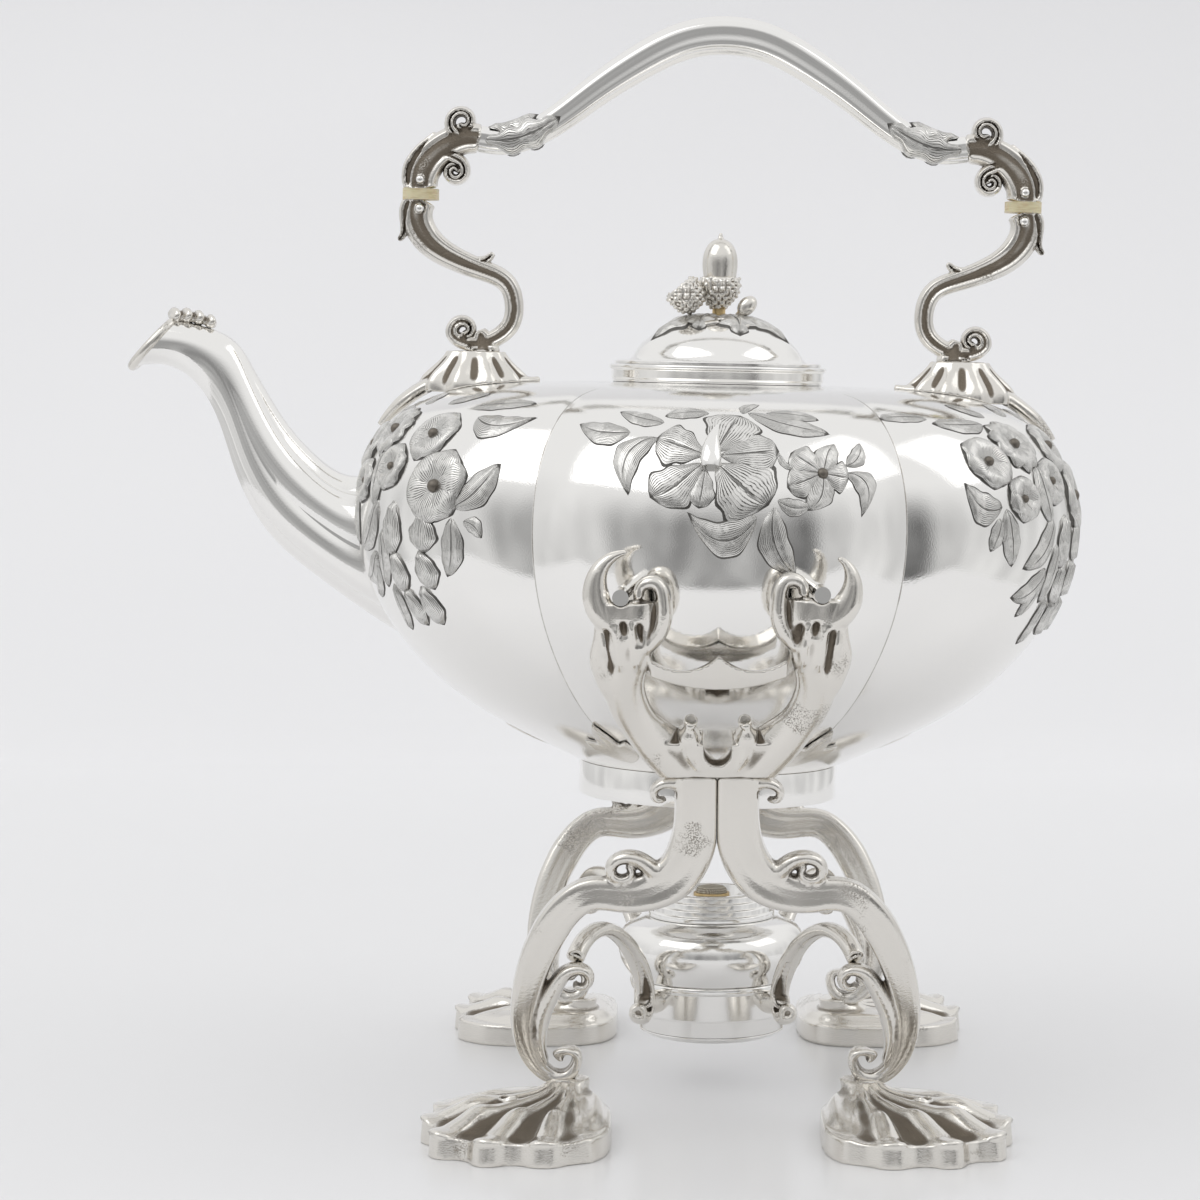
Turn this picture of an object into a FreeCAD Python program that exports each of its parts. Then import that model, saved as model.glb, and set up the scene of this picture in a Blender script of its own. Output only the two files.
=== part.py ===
import FreeCAD, Part
import math
import os

from FreeCAD import Vector

# Fits between pieces
solder_gap = 0.06        # between pieces that are soldered together
seat_gap = 0.12          # between a lifting piece and the seat that it rests on
pin_clearance = 0.05     # radial, between a turning pin and its hole
lid_clearance = 0.45     # radial, between the lid's bezel and the collar

# Kettle body: six lobes, each row is (crest radius, height, lobe depth)
lobe_count = 6
belly_rows = [
    (43.5, 111.0, 0.0),
    (66.5, 121.7, 2.6),
    (89.0, 134.5, 5.4),
    (108.0, 151.8, 7.6),
    (120.0, 170.0, 8.8),
    (125.2, 191.0, 9.2),
    (122.8, 209.5, 9.0),
    (114.0, 224.0, 8.2),
    (98.0, 233.6, 5.6),
    (76.0, 237.8, 2.2),
    (55.0, 239.0, 0.5),
    (35.5, 239.4, 0.0),
]
body_wall = 1.2
rest_lean_deg = 1.3      # the kettle hangs a little low on its tail side
lean_height = 175.0      # height of the point on the axis that it leans about
stand_axis_reach = 38.9  # from the origin, under the whole object's middle, to the stand's axis

# Foot ring and neck
foot_ring_radius = 43.8
foot_ring_wall = 1.4
foot_ring_bottom = 99.8
neck_radius = 32.0
collar_radius = 36.0
collar_lip = 1.0
collar_height = 5.9

# Lid
lid_flange_radius = 35.2
lid_flange_thickness = 1.3
lid_dome_radius = 29.0
lid_dome_rise = 15.0
lid_wall = 1.2
bezel_depth = 4.6
bezel_wall = 1.2
hinge_barrel_radius = 2.0
hinge_pin_radius = 0.9
hinge_tuck = 0.6         # how far a barrel reaches in over the collar's lip
knuckle_length = 4.6
knuckle_side_gap = 0.3

# Finial
acorn_radius = 6.0
acorn_height = 13.5
acorn_cup_radius = 7.0
acorn_cup_height = 10.5
finial_stalk_radius = 2.2
finial_thread = 5.0      # length of the stalk under the lid
finial_neck = 3.0        # from the lid's crown to the acorn's cup
leaf_thickness = 1.1

# Spout: each row is (top x, top z, bottom x, bottom z, half width, flute share)
spout_rows = [
    (-108.0, 207.0, -98.0, 149.0, 25.0, 0.03),
    (-120.0, 204.0, -113.0, 157.5, 20.0, 0.06),
    (-131.0, 207.0, -133.0, 171.0, 16.5, 0.07),
    (-143.5, 218.5, -151.0, 186.0, 13.5, 0.06),
    (-152.0, 231.0, -162.5, 205.0, 11.0, 0.04),
    (-158.0, 241.5, -169.5, 224.0, 9.0, 0.02),
    (-164.5, 250.5, -177.5, 236.0, 8.2, 0.0),
    (-174.0, 254.8, -187.5, 241.5, 8.0, 0.0),
    (-184.0, 257.0, -199.0, 240.5, 8.4, 0.0),
]
spout_wall = 1.2
spout_seam = 0.2         # solder line between the spout's root and the body
spout_flutes = 6
spout_hole_radius = 13.0
spout_hole_height = 181.0

# Handle
handle_reach = 101.8     # from the axis to an insulator
insulator_height = 301.0
insulator_thickness = 3.7
insulator_half_width = 6.1
insulator_half_depth = 5.2
insulator_pin_radius = 1.0
insulator_pin_head = 1.5
grip_end = 82.0
grip_end_height = 320.0
grip_apex = 356.4
grip_half_end = 4.3
grip_half_apex = 6.2
grip_reed_share = 0.06
grip_squareness = 2.2
socket_reach = 82.0
socket_top = 248.6
socket_half_length = 13.5
socket_half_depth = 9.5
socket_flutes = 10

# Cradle pins on the kettle
pivot_reach = 30.0       # spout side
rest_reach = 31.0        # tail side
pivot_height = 175.5
rest_height = 176.4
cradle_pin_radius = 2.5
pin_end_depth = 131.0

# Stand: rows of (height, depth from the axis) that the cast frames follow
frame_rows = [
    (0.0, 66.0),
    (20.0, 69.0),
    (60.0, 79.0),
    (117.0, 94.0),
    (134.0, 104.5),
    (150.0, 116.0),
    (163.0, 123.5),
    (174.0, 126.6),
    (195.0, 127.2),
]
cradle_bottom = 117.0
cradle_bar_half_depth = 3.0
heart_gap = 8.6          # between the two lobes of a cradle's heart
hook_play = 0.3          # radial room of a pin in its hook
spout_horn = ((1.5, -9.0), (6.4, -3.4), (7.6, 3.6), (5.6, 9.4), (1.6, 12.6), (-2.4, 13.6))
tail_horn = ((1.5, -9.0), (7.0, -4.0), (9.2, 2.0), (8.4, 7.4), (6.2, 10.2), (4.6, 10.8))
ankle_reach = 46.0
ankle_depth = 69.0
ankle_height = 16.0
ankle_radius = 6.6
foot_inner_reach = 33.0
foot_outer_reach = 92.5
foot_inner_depth = 56.0
foot_outer_depth = 127.5
plinth_height = 7.6
foot_heading_deg = 48.0  # the way that the shell fans out from the ankle
foot_corner_power = 3.2  # 2 is an ellipse in plan, more is squarer
foot_corner_trim = 0.10
foot_scallops = 10
foot_scallop_depth = 1.9
foot_hollow_share = 0.84  # how far the hollow under a foot reaches towards its outline
foot_hollow_height = 5.8
foot_knob_radius = 3.2
foot_knob_bore = 1.6
foot_knob_height = 6.6

# Lamp and its ring
ring_radius = 26.6
ring_wall = 1.5
ring_bottom = 25.0
ring_top = 36.8
ring_bead = 0.9
ring_bead_height = 2.6
lamp_radius = 32.0
lamp_widest = 48.5
lamp_shoulder = 57.6
lamp_mouth_radius = 15.0
lamp_bottom = 16.5
lamp_dish_depth = 3.0
lamp_wall = 1.1
lamp_play = 0.5          # radial, between the lamp's base and the ring
holder_radius = 21.5
holder_step_height = 2.1
holder_steps = 4
holder_plug_depth = 6.0
wick_radius = 5.2
wick_tube_wall = 0.9
wick_top = 67.5
bracket_leg_reach = 45.0
bracket_ring_deg = 44.0  # where a bracket meets the ring, from the spout's line

# Lower sprays: three leaves each, lying on the belly beside the foot
spray_reach = 52.0
spray_length = 26.0
spray_leaf_half_width = 3.6
spray_thickness = 1.3

# Heights and reaches that follow from the sizes above
collar_bottom = belly_rows[-1][1] + solder_gap
collar_top = collar_bottom + collar_height
lid_bottom = collar_top + seat_gap
lid_flange_top = lid_bottom + lid_flange_thickness
hinge_height = lid_bottom + hinge_barrel_radius
hinge_depth = collar_radius + collar_lip + hinge_barrel_radius - hinge_tuck
knuckle_pitch = knuckle_length + knuckle_side_gap
finial_base = lid_flange_top + lid_dome_rise
cup_bottom = finial_base + finial_neck
cup_top = cup_bottom + acorn_cup_height
lamp_floor = lamp_bottom + lamp_dish_depth
lamp_base_radius = ring_radius - ring_wall - lamp_play

# Directions, and a reach past the whole object for cutting blocks
up = Vector(0, 0, 1)
depthwise = Vector(0, 1, 0)
sidewise = Vector(1, 0, 0)
far = 300.0


def blend_rows(rows, share):
    """Values at a share of the way through a list of evenly spaced rows."""
    place = max(0.0, min(1.0, share)) * (len(rows) - 1)
    low = min(int(place), len(rows) - 2)
    part = place - low
    return [a + (b - a) * part for a, b in zip(rows[low], rows[low + 1])]


def frame_depth(height):
    """Depth of the cast frame's middle plane at a height."""
    for (z0, y0), (z1, y1) in zip(frame_rows, frame_rows[1:]):
        if height <= z1:
            return y0 + (y1 - y0) * (height - z0) / (z1 - z0)
    return frame_rows[-1][1]


def closed_curve(points):
    """Smooth closed wire through points."""
    curve = Part.BSplineCurve()
    curve.interpolate(Points=points, PeriodicFlag=True)
    return Part.Wire(curve.toShape())


def section(center, inward, across, half_in, half_across, squareness=2.0, lobes=0, lobe_share=0.0):
    """Closed wire of a rounded cross-section, with lobes along it if it is reeded."""
    count = max(12, 4 * lobes)
    points = []
    for step in range(count):
        angle = 2 * math.pi * step / count
        cos, sin = math.cos(angle), math.sin(angle)
        a = math.copysign(abs(cos) ** (2 / squareness), cos)
        b = math.copysign(abs(sin) ** (2 / squareness), sin)
        swell = 1 + lobe_share * math.cos(lobes * angle)
        points.append(center + inward * (half_in * swell * a) + across * (half_across * swell * b))
    return closed_curve(points)


def stem(points, halves, across=depthwise, squareness=2.0, stations=0, lobes=0, lobe_share=0.0):
    """Cast stem that follows points, with half sizes (in the plane, across it) along its length."""
    path = Part.BSplineCurve()
    path.interpolate(points)
    stations = stations or 2 * len(points)
    wires = []
    for index, point in enumerate(path.discretize(Number=stations)):
        tangent = path.tangent(path.parameter(point))[0]
        side = (across - tangent * across.dot(tangent)).normalize()
        inward = side.cross(tangent).normalize()
        half_in, half_across = blend_rows(halves, index / (stations - 1))
        wires.append(section(point, inward, side, half_in, half_across, squareness, lobes, lobe_share))
    return Part.makeLoft(wires, True, False)


def volute(center, radius, start_deg, turns, shrink, count):
    """Points (across, up) of a spiral that winds in from a start angle, left-handed when turns < 0."""
    points = []
    for step in range(count):
        share = step / (count - 1)
        angle = math.radians(start_deg) + 2 * math.pi * turns * share
        reach = radius * (1 - (1 - shrink) * share)
        points.append((center[0] + reach * math.cos(angle), center[1] + reach * math.sin(angle)))
    return points


def turn(wire):
    """Solid that a closed wire sweeps round the axis, its skin facing outwards."""
    solid = Part.Face(wire).revolve(Vector(0, 0, 0), up, 360)
    if solid.Volume < 0:
        solid.reverse()
    return solid


def revolve(profile):
    """Solid of revolution of a closed list of (radius, height) corners."""
    points = [Vector(r, 0, z) for r, z in profile]
    return turn(Part.makePolygon(points + points[:1]))


def revolve_curves(pieces):
    """Solid of revolution of a profile of runs, each a list of (radius, height): 2 points make a line,
    more a smooth curve."""
    edges = []
    for run in pieces:
        points = [Vector(r, 0, z) for r, z in run]
        if len(points) == 2:
            edges.append(Part.makeLine(points[0], points[1]))
        else:
            curve = Part.BSplineCurve()
            curve.interpolate(points)
            edges.append(curve.toShape())
    return turn(Part.Wire(edges))


def mirror_x(shape):
    return shape.mirror(Vector(0, 0, 0), sidewise)


def mirror_y(shape):
    return shape.mirror(Vector(0, 0, 0), depthwise)


def lean(shape):
    """Turn an upright kettle piece to the way that the kettle hangs."""
    leaned = shape.copy()
    leaned.rotate(Vector(0, 0, lean_height), depthwise, rest_lean_deg)
    return leaned


def fuse(shapes):
    return shapes[0].multiFuse(shapes[1:])


def largest(shape):
    """The main solid of a cut, without the chips beside it."""
    return max(shape.Solids, key=lambda solid: solid.Volume)


def box_between(low, high):
    size = Vector(*high) - Vector(*low)
    return Part.makeBox(size.x, size.y, size.z, Vector(*low))


# Kettle body
def belly(offset):
    """Six-lobed solid whose skin lies an offset outside the body's own."""
    wires = []
    for index, (crest, height, lobe) in enumerate(belly_rows):
        before = belly_rows[max(0, index - 1)]
        after = belly_rows[min(len(belly_rows) - 1, index + 1)]
        run = math.hypot(after[0] - before[0], after[1] - before[1])
        out = offset * (after[1] - before[1]) / run
        rise = -offset * (after[0] - before[0]) / run
        half = math.pi / lobe_count
        arcs = []
        for number in range(lobe_count):
            middle = 2 * half * number - math.pi / 2
            corners = []
            for angle, radius in (
                (middle - half, crest - lobe + out),
                (middle, crest + out),
                (middle + half, crest - lobe + out),
            ):
                corners.append(Vector(radius * math.cos(angle), radius * math.sin(angle), height + rise))
            arcs.append(Part.Arc(*corners).toShape())
        wires.append(Part.Wire(arcs))
    return Part.makeLoft(wires, True, False)


def kettle_body(skin):
    mouth = Part.makeCylinder(neck_radius, far, Vector(0, 0, spout_hole_height))
    hole = Part.makeCylinder(spout_hole_radius, far, Vector(-far, 0, spout_hole_height), sidewise)
    return largest(skin.cut(belly(-body_wall)).cut(mouth).cut(hole))


def foot_ring():
    top = belly_rows[0][1] - solder_gap
    inner = foot_ring_radius - foot_ring_wall
    return revolve(
        [
            (inner, foot_ring_bottom + 0.5),
            (inner + 0.4, foot_ring_bottom),
            (foot_ring_radius, foot_ring_bottom),
            (foot_ring_radius, top),
            (inner - 1.6, top),
            (inner - 1.6, top - 1.0),
            (inner, top - 1.6),
        ]
    )


def neck_collar():
    lip = collar_radius + collar_lip
    return revolve(
        [
            (neck_radius, collar_bottom),
            (collar_radius - 0.5, collar_bottom),
            (collar_radius - 0.5, collar_bottom + 0.8),
            (collar_radius, collar_bottom + 1.4),
            (collar_radius, collar_top - 1.8),
            (lip, collar_top - 1.2),
            (lip, collar_top - 0.4),
            (lip - 0.4, collar_top),
            (neck_radius, collar_top),
        ]
    )


# Spout
def spout_tube(inset, past):
    """Solid along the spout, an inset inside its skin, running past both ends by a length."""
    frames = []
    for top_x, top_z, bottom_x, bottom_z, half_width, flute in spout_rows:
        span = Vector(top_x - bottom_x, 0, top_z - bottom_z)
        center = Vector(top_x + bottom_x, 0, top_z + bottom_z) * 0.5
        frames.append((center, span, half_width, flute if inset == 0 else 0.0))
    if past:
        for place, way in ((0, 1), (-1, -1)):
            center, span, half_width, flute = frames[place]
            outward = depthwise.cross(span).normalize() * way
            frames.insert(len(frames) * -place, (center + outward * past, span, half_width, flute))
    wires = []
    for center, span, half_width, flute in frames:
        upward = Vector(span).normalize()
        half_height = span.Length / 2 - inset
        wires.append(
            section(center, upward, depthwise, half_height, half_width - inset, 2.0, spout_flutes, flute)
        )
    return Part.makeLoft(wires, True, False)


def spout(seat):
    """Spout with its bore, cut back from the body's skin."""
    rooted = largest(spout_tube(0, 0).cut(seat))
    return largest(rooted.cut(spout_tube(spout_wall, 4.0)))


def spout_shell():
    """Rope-edged shell that caps the top of the spout's tip."""
    start = spout_rows[-1]
    end = spout_rows[-3]
    lumps = []
    lump_count = 6
    for number in range(lump_count):
        share = number / (lump_count - 1)
        x = start[0] + (end[0] - start[0]) * share
        z = start[1] + (end[1] - start[1]) * share
        bow = 2.2 * 4 * share * (1 - share) * (start[1] - end[1]) / 6.5
        lump = Part.makeSphere(3.0 - 0.9 * share)
        stretch = FreeCAD.Matrix()
        stretch.scale(0.85, 1.7 - 0.7 * share, 0.8)
        lump = lump.transformGeometry(stretch)
        lump.translate(Vector(x, 0, z + bow + 0.7))
        lumps.append(lump)
    return largest(fuse(lumps).cut(spout_tube(-solder_gap, 0)))


# Handle
def handle_points(rows):
    return [Vector(x, 0, z) for x, z in rows]


def grip_run():
    """Spout-side half of the grip's middle line, from its end towards the apex."""
    return [
        (-grip_end, grip_end_height),
        (-0.9 * grip_end, grip_end_height - 0.6),
        (-0.73 * grip_end, grip_end_height + 4.6),
        (-0.55 * grip_end, grip_end_height + 15.5),
        (-0.33 * grip_end, grip_apex - 8.6),
        (-0.16 * grip_end, grip_apex - 1.9),
    ]


def grip():
    half_run = grip_run()
    run = half_run + [(0.0, grip_apex)] + [(-x, z) for x, z in reversed(half_run)]
    halves = [grip_half_end, grip_half_end + 0.4, grip_half_apex, grip_half_end + 0.4, grip_half_end]
    return stem(
        handle_points(run),
        [(half, half) for half in halves],
        stations=25,
        squareness=grip_squareness,
        lobes=6,
        lobe_share=grip_reed_share,
    )


def grip_sleeve():
    """Space round the grip's spout-side end, which the volute over it is cut back from."""
    run = grip_run()[:4]
    run[0] = (run[0][0] - spout_seam, run[0][1])
    thick = grip_half_end * (1 + grip_reed_share) + 0.5
    return stem(
        handle_points(run),
        [(thick, thick), (thick + 0.3, thick + 0.3)],
        stations=9,
        squareness=grip_squareness,
    )


def elbow():
    """Cast elbow between the grip's spout-side end and its insulator, with two volutes."""
    foot = insulator_height + insulator_thickness / 2 + solder_gap
    arm = stem(
        handle_points(
            [
                (-handle_reach, foot),
                (-handle_reach + 0.6, foot + 6),
                (-handle_reach + 5.5, foot + 12.5),
                (-grip_end - 7, grip_end_height - 0.4),
                (-grip_end - solder_gap, grip_end_height),
            ]
        ),
        [(5.4, 4.8), (5.6, 4.8), (5.2, 4.6), (4.8, 4.4), (grip_half_end + 0.3, grip_half_end + 0.3)],
        stations=12,
    )
    upper = stem(
        handle_points(
            [(-grip_end + 19, grip_end_height + 6.4), (-grip_end + 8, grip_end_height + 3.4)]
            + volute((-grip_end - 6, grip_end_height + 5.6), 5.2, -80, -1.15, 0.3, 9)
        ),
        [(0.5, 2.0), (1.8, 4.4), (2.0, 4.6), (1.8, 4.6), (1.5, 4.4), (1.3, 4.2), (1.1, 4.0)],
        stations=26,
    )
    lower = stem(
        handle_points(
            [(-handle_reach + 5, foot + 14), (-handle_reach + 10, foot + 11)]
            + volute((-handle_reach + 11.5, foot + 6), 3.6, 40, -1.1, 0.35, 8)
        ),
        [(1.6, 3.6), (1.8, 4.0), (1.5, 4.0), (1.3, 3.8), (1.0, 3.6)],
        stations=22,
    )
    leaf = stem(
        handle_points(
            [
                (-handle_reach - 4.6, foot + 1.5),
                (-handle_reach - 4.0, foot + 8),
                (-handle_reach + 1.5, foot + 15.5),
                (-handle_reach + 4.4, foot + 18.6),
            ]
        ),
        [(1.2, 3.4), (1.5, 3.6), (1.3, 3.0), (0.4, 1.2)],
        stations=9,
    )
    keep = box_between((-far, -far, foot), (-grip_end - solder_gap, far, 2 * far))
    body = largest(fuse([arm, lower, leaf]).common(keep))
    return largest(fuse([body, upper]).cut(grip_sleeve()))


def lower_scroll():
    """S-scroll from the spout-side socket up to the insulator."""
    head = insulator_height - insulator_thickness / 2 - solder_gap
    base = socket_top
    run = handle_points(
        [
            (-handle_reach, head),
            (-handle_reach - 0.8, head - 7),
            (-handle_reach + 3.4, head - 14),
            (-handle_reach + 12, head - 19.5),
            (-handle_reach + 21, head - 23),
            (-socket_reach + 10, base + 23),
            (-socket_reach + 12.6, base + 16),
            (-socket_reach + 11.4, base + 9),
            (-socket_reach + 5, base + 3.8),
            (-socket_reach - 2, base + 2.6),
        ]
        + volute((-socket_reach - 4.2, base + 6.9), 4.6, 250, -1.0, 0.3, 7)[1:]
    )
    body = stem(
        run,
        [
            (5.0, 4.6), (4.6, 4.4), (3.7, 4.0), (3.1, 3.7), (2.8, 3.5), (2.7, 3.4), (2.4, 3.4), (1.8, 3.4),
            (1.1, 3.2),
        ],
        stations=34,
    )
    leaf = stem(
        handle_points(
            [
                (-handle_reach - 3.6, head),
                (-handle_reach - 5.2, head - 6),
                (-handle_reach - 5.4, head - 11),
                (-handle_reach - 7.0, head - 13.4),
            ]
        ),
        [(1.6, 3.2), (1.6, 3.0), (1.2, 2.2), (0.5, 1.2)],
        stations=9,
    )
    cusp = stem(
        handle_points(
            [
                (-socket_reach - 6, head - 19),
                (-socket_reach + 1, head - 20.5),
                (-socket_reach + 5, head - 17.6),
            ]
        ),
        [(0.8, 1.6), (1.9, 2.8), (0.5, 1.0)],
        stations=8,
    )
    toe = stem(
        handle_points(
            [(-socket_reach + 1, base + 6.5), (-socket_reach + 2, base + 3), (-socket_reach + 2, base)]
        ),
        [(2.0, 2.6), (4.2, 3.6), (6.0, 5.0)],
        stations=8,
    )
    keep = box_between((-far, -far, base + solder_gap), (0, far, head))
    return largest(fuse([body, leaf, cusp, toe]).common(keep))


def insulator():
    wire = section(
        Vector(-handle_reach, 0, insulator_height - insulator_thickness / 2),
        sidewise,
        depthwise,
        insulator_half_width,
        insulator_half_depth,
        2.6,
    )
    return Part.Face(wire).extrude(up * insulator_thickness)


def insulator_pins():
    """Two rivets above and two below the insulators, their heads on the front and rear."""
    pins = []
    for side in (-1, 1):
        for step in (-1, 1):
            height = insulator_height + step * (insulator_thickness / 2 + 3.0)
            reach = side * handle_reach
            pin = Part.makeCylinder(insulator_pin_radius, 9.0, Vector(reach, -4.5, height), depthwise)
            for face in (-1, 1):
                head = Part.makeSphere(insulator_pin_head, Vector(reach, face * 4.9, height))
                pin = pin.fuse(head)
            pins.append(pin)
    return pins


def socket(skin):
    """Fluted calyx under the spout-side end of the handle."""
    wires = []
    for height, spread, depth in (
        (-14.0, 1.35, 0.05),
        (-8.0, 1.2, 0.08),
        (-4.0, 0.92, 0.06),
        (0.0, 0.72, 0.03),
    ):
        wires.append(
            section(
                Vector(-socket_reach, 0, socket_top + height),
                sidewise,
                depthwise,
                socket_half_length * spread,
                socket_half_depth * spread,
                2.0,
                socket_flutes,
                depth,
            )
        )
    calyx = Part.makeLoft(wires, True, False)
    outer = stem(
        handle_points(
            [
                (-socket_reach - 8, socket_top - 8),
                (-socket_reach - 18, socket_top - 13),
                (-socket_reach - 26, socket_top - 19),
                (-socket_reach - 32, socket_top - 26),
            ]
        ),
        [(2.4, 6.0), (2.6, 7.0), (2.4, 5.0), (1.4, 1.2)],
        stations=9,
    )
    inner = stem(
        handle_points(
            [
                (-socket_reach + 8, socket_top - 8.5),
                (-socket_reach + 16, socket_top - 10),
                (-socket_reach + 22, socket_top - 9.2),
            ]
        ),
        [(2.2, 5.0), (2.2, 4.6), (1.2, 1.4)],
        stations=8,
    )
    return largest(fuse([calyx, outer, inner]).cut(skin))


# Small fittings of the body
def leaf_outline(root, heading_deg, length, half_width, height):
    """Pointed leaf in plan, its root at a point (x, y)."""
    heading = math.radians(heading_deg)
    along = Vector(math.cos(heading), math.sin(heading), 0)
    beside = Vector(-math.sin(heading), math.cos(heading), 0)
    start = Vector(root[0], root[1], height)
    tip = start + along * length
    left = start + along * (0.42 * length) + beside * half_width
    right = start + along * (0.42 * length) - beside * half_width
    return Part.Wire([Part.Arc(start, left, tip).toShape(), Part.Arc(tip, right, start).toShape()])


def lower_sprays(skin):
    low = belly_rows[0][1] - 4
    high = belly_rows[4][1]
    blank = belly(spray_thickness).cut(skin)
    sprays = []
    for number in range(lobe_count):
        middle = 360 / lobe_count * (number + 0.5) - 90
        leaves = []
        for turn, share in ((-24, 0.72), (0, 1.0), (24, 0.72)):
            angle = math.radians(middle)
            root = (spray_reach * math.cos(angle), spray_reach * math.sin(angle))
            wire = leaf_outline(root, middle + turn, spray_length * share, spray_leaf_half_width, low)
            leaves.append(Part.Face(wire).extrude(up * (high - low)))
        sprays.append(fuse(leaves).common(blank))
    return [largest(spray) for spray in sprays]


def cradle_pin(reach, height, skin):
    """Front pin of a pair, rooted on the leaned belly, with a domed end."""
    end = Vector(reach, -pin_end_depth, height)
    pin = Part.makeCylinder(cradle_pin_radius, pin_end_depth, end, depthwise)
    cap_radius = 1.6 * cradle_pin_radius
    cap = Part.makeSphere(cap_radius, end + depthwise * (cap_radius - 0.9))
    dome = Part.makeCylinder(cradle_pin_radius, 2.2, end, depthwise)
    ended = pin.cut(dome).fuse(dome.common(cap)).removeSplitter()
    outer = ended.cut(skin)
    return min(outer.Solids, key=lambda solid: solid.CenterOfMass.y)


# Lid and its hinge
def dome_rows(offset, crown_radius):
    """Outline of the lid's dome, from its rim to its crown, an offset outside the skin."""
    return [
        (lid_dome_radius + offset, lid_flange_top + 1.2),
        (lid_dome_radius * 0.93 + offset, lid_flange_top + 4.4 + 0.3 * offset),
        (lid_dome_radius * 0.74 + 0.6 * offset, lid_flange_top + 0.62 * lid_dome_rise + 0.8 * offset),
        (lid_dome_radius * 0.42 + 0.3 * offset, lid_flange_top + 0.9 * lid_dome_rise + offset),
        (crown_radius, finial_base + offset),
    ]


def lid_dome():
    stalk = finial_stalk_radius + pin_clearance
    outer = dome_rows(0.0, stalk)
    inner = [(max(stalk, r - 0.9 * lid_wall), z - lid_wall) for r, z in reversed(outer)]
    edge = lid_flange_radius - 0.5
    return revolve_curves(
        [
            [(lid_flange_radius, lid_bottom), (lid_flange_radius, lid_flange_top - 0.4)],
            [(lid_flange_radius, lid_flange_top - 0.4), (edge, lid_flange_top)],
            [(edge, lid_flange_top), (lid_dome_radius + 1.2, lid_flange_top)],
            [(lid_dome_radius + 1.2, lid_flange_top), outer[0]],
            outer,
            [outer[-1], inner[0]],
            inner,
            [inner[-1], (inner[-1][0], lid_bottom)],
            [(inner[-1][0], lid_bottom), (lid_flange_radius, lid_bottom)],
        ]
    )


def lid_bezel():
    outer = neck_radius - lid_clearance
    top = lid_bottom - solder_gap
    return revolve(
        [
            (outer - bezel_wall, top - bezel_depth),
            (outer - 0.5, top - bezel_depth),
            (outer, top - bezel_depth + 0.6),
            (outer, top),
            (outer - bezel_wall - 2.5, top),
            (outer - bezel_wall - 2.5, top - 0.8),
            (outer - bezel_wall, top - 0.8),
        ]
    )


def knuckle(middle, plate_low, plate_high):
    """One hinge knuckle: a barrel with its leaf."""
    start = Vector(middle - knuckle_length / 2, hinge_depth, hinge_height)
    barrel = Part.makeCylinder(hinge_barrel_radius, knuckle_length, start, sidewise)
    leaf = box_between(
        (middle - knuckle_length / 2, plate_low[0], plate_low[1]),
        (middle + knuckle_length / 2, plate_high[0], plate_high[1]),
    )
    hole = Part.makeCylinder(
        hinge_pin_radius + pin_clearance, 2 * far, Vector(-far, hinge_depth, hinge_height), sidewise
    )
    return barrel.fuse(leaf).removeSplitter().cut(hole)


def body_knuckles():
    wall = Part.makeCylinder(collar_radius + collar_lip + solder_gap, far)
    low = (collar_radius - 1.5, collar_bottom + 1.0)
    high = (hinge_depth + 1.2, hinge_height)
    pieces = []
    for side in (-1, 1):
        whole = knuckle(side * knuckle_pitch, low, high).cut(wall)
        pieces.append(largest(whole))
    return pieces


def lid_knuckle():
    low = (lid_flange_radius - 2.0, lid_flange_top + solder_gap)
    high = (hinge_depth, lid_flange_top + 1.3)
    dome = Part.makeCylinder(lid_dome_radius + 1.6, far)
    return largest(knuckle(0, low, high).cut(dome))


def lid_hinge_pin():
    length = 2 * knuckle_pitch + knuckle_length
    start = Vector(-length / 2, hinge_depth, hinge_height)
    return Part.makeCylinder(hinge_pin_radius, length, start, sidewise)


# Finial
def finial_stalk():
    """Threaded stalk that carries the acorn and clamps the leaves to the lid."""
    low = finial_base - lid_wall - finial_thread
    return Part.makeCylinder(finial_stalk_radius, cup_bottom - solder_gap - low, Vector(0, 0, low))


def finial_nut():
    bore = finial_stalk_radius + solder_gap
    top = finial_base - lid_wall - 0.4
    return revolve([(bore, top - 3.0), (5.5, top - 3.0), (5.5, top - 0.8), (4.6, top), (bore, top)])


def acorn_cup():
    return revolve_curves(
        [
            [(0.0, cup_bottom), (2.6, cup_bottom)],
            [
                (2.6, cup_bottom),
                (5.4, cup_bottom + 0.28 * acorn_cup_height),
                (acorn_cup_radius, cup_bottom + 0.66 * acorn_cup_height),
                (acorn_cup_radius - 0.3, cup_top),
            ],
            [(acorn_cup_radius - 0.3, cup_top), (acorn_radius - 0.4, cup_top)],
            [(acorn_radius - 0.4, cup_top), (acorn_radius - 0.4, cup_top - 2.0)],
            [(acorn_radius - 0.4, cup_top - 2.0), (0.0, cup_top - 2.0)],
            [(0.0, cup_top - 2.0), (0.0, cup_bottom)],
        ]
    )


def acorn_nut():
    base = cup_top - 2.0 + solder_gap
    top = base + acorn_height + 2.0
    neck = acorn_radius - 0.4 - solder_gap
    return revolve_curves(
        [
            [(0.0, base), (neck, base)],
            [(neck, base), (neck, cup_top + 0.1)],
            [
                (neck, cup_top + 0.1),
                (acorn_radius, cup_top + 0.3 * acorn_height),
                (acorn_radius - 0.5, cup_top + 0.62 * acorn_height),
                (acorn_radius * 0.55, top - 1.6),
                (1.0, top - 0.6),
            ],
            [(1.0, top - 0.6), (0.6, top + 1.4)],
            [(0.6, top + 1.4), (0.0, top + 1.6)],
            [(0.0, top + 1.6), (0.0, base)],
        ]
    )


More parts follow.
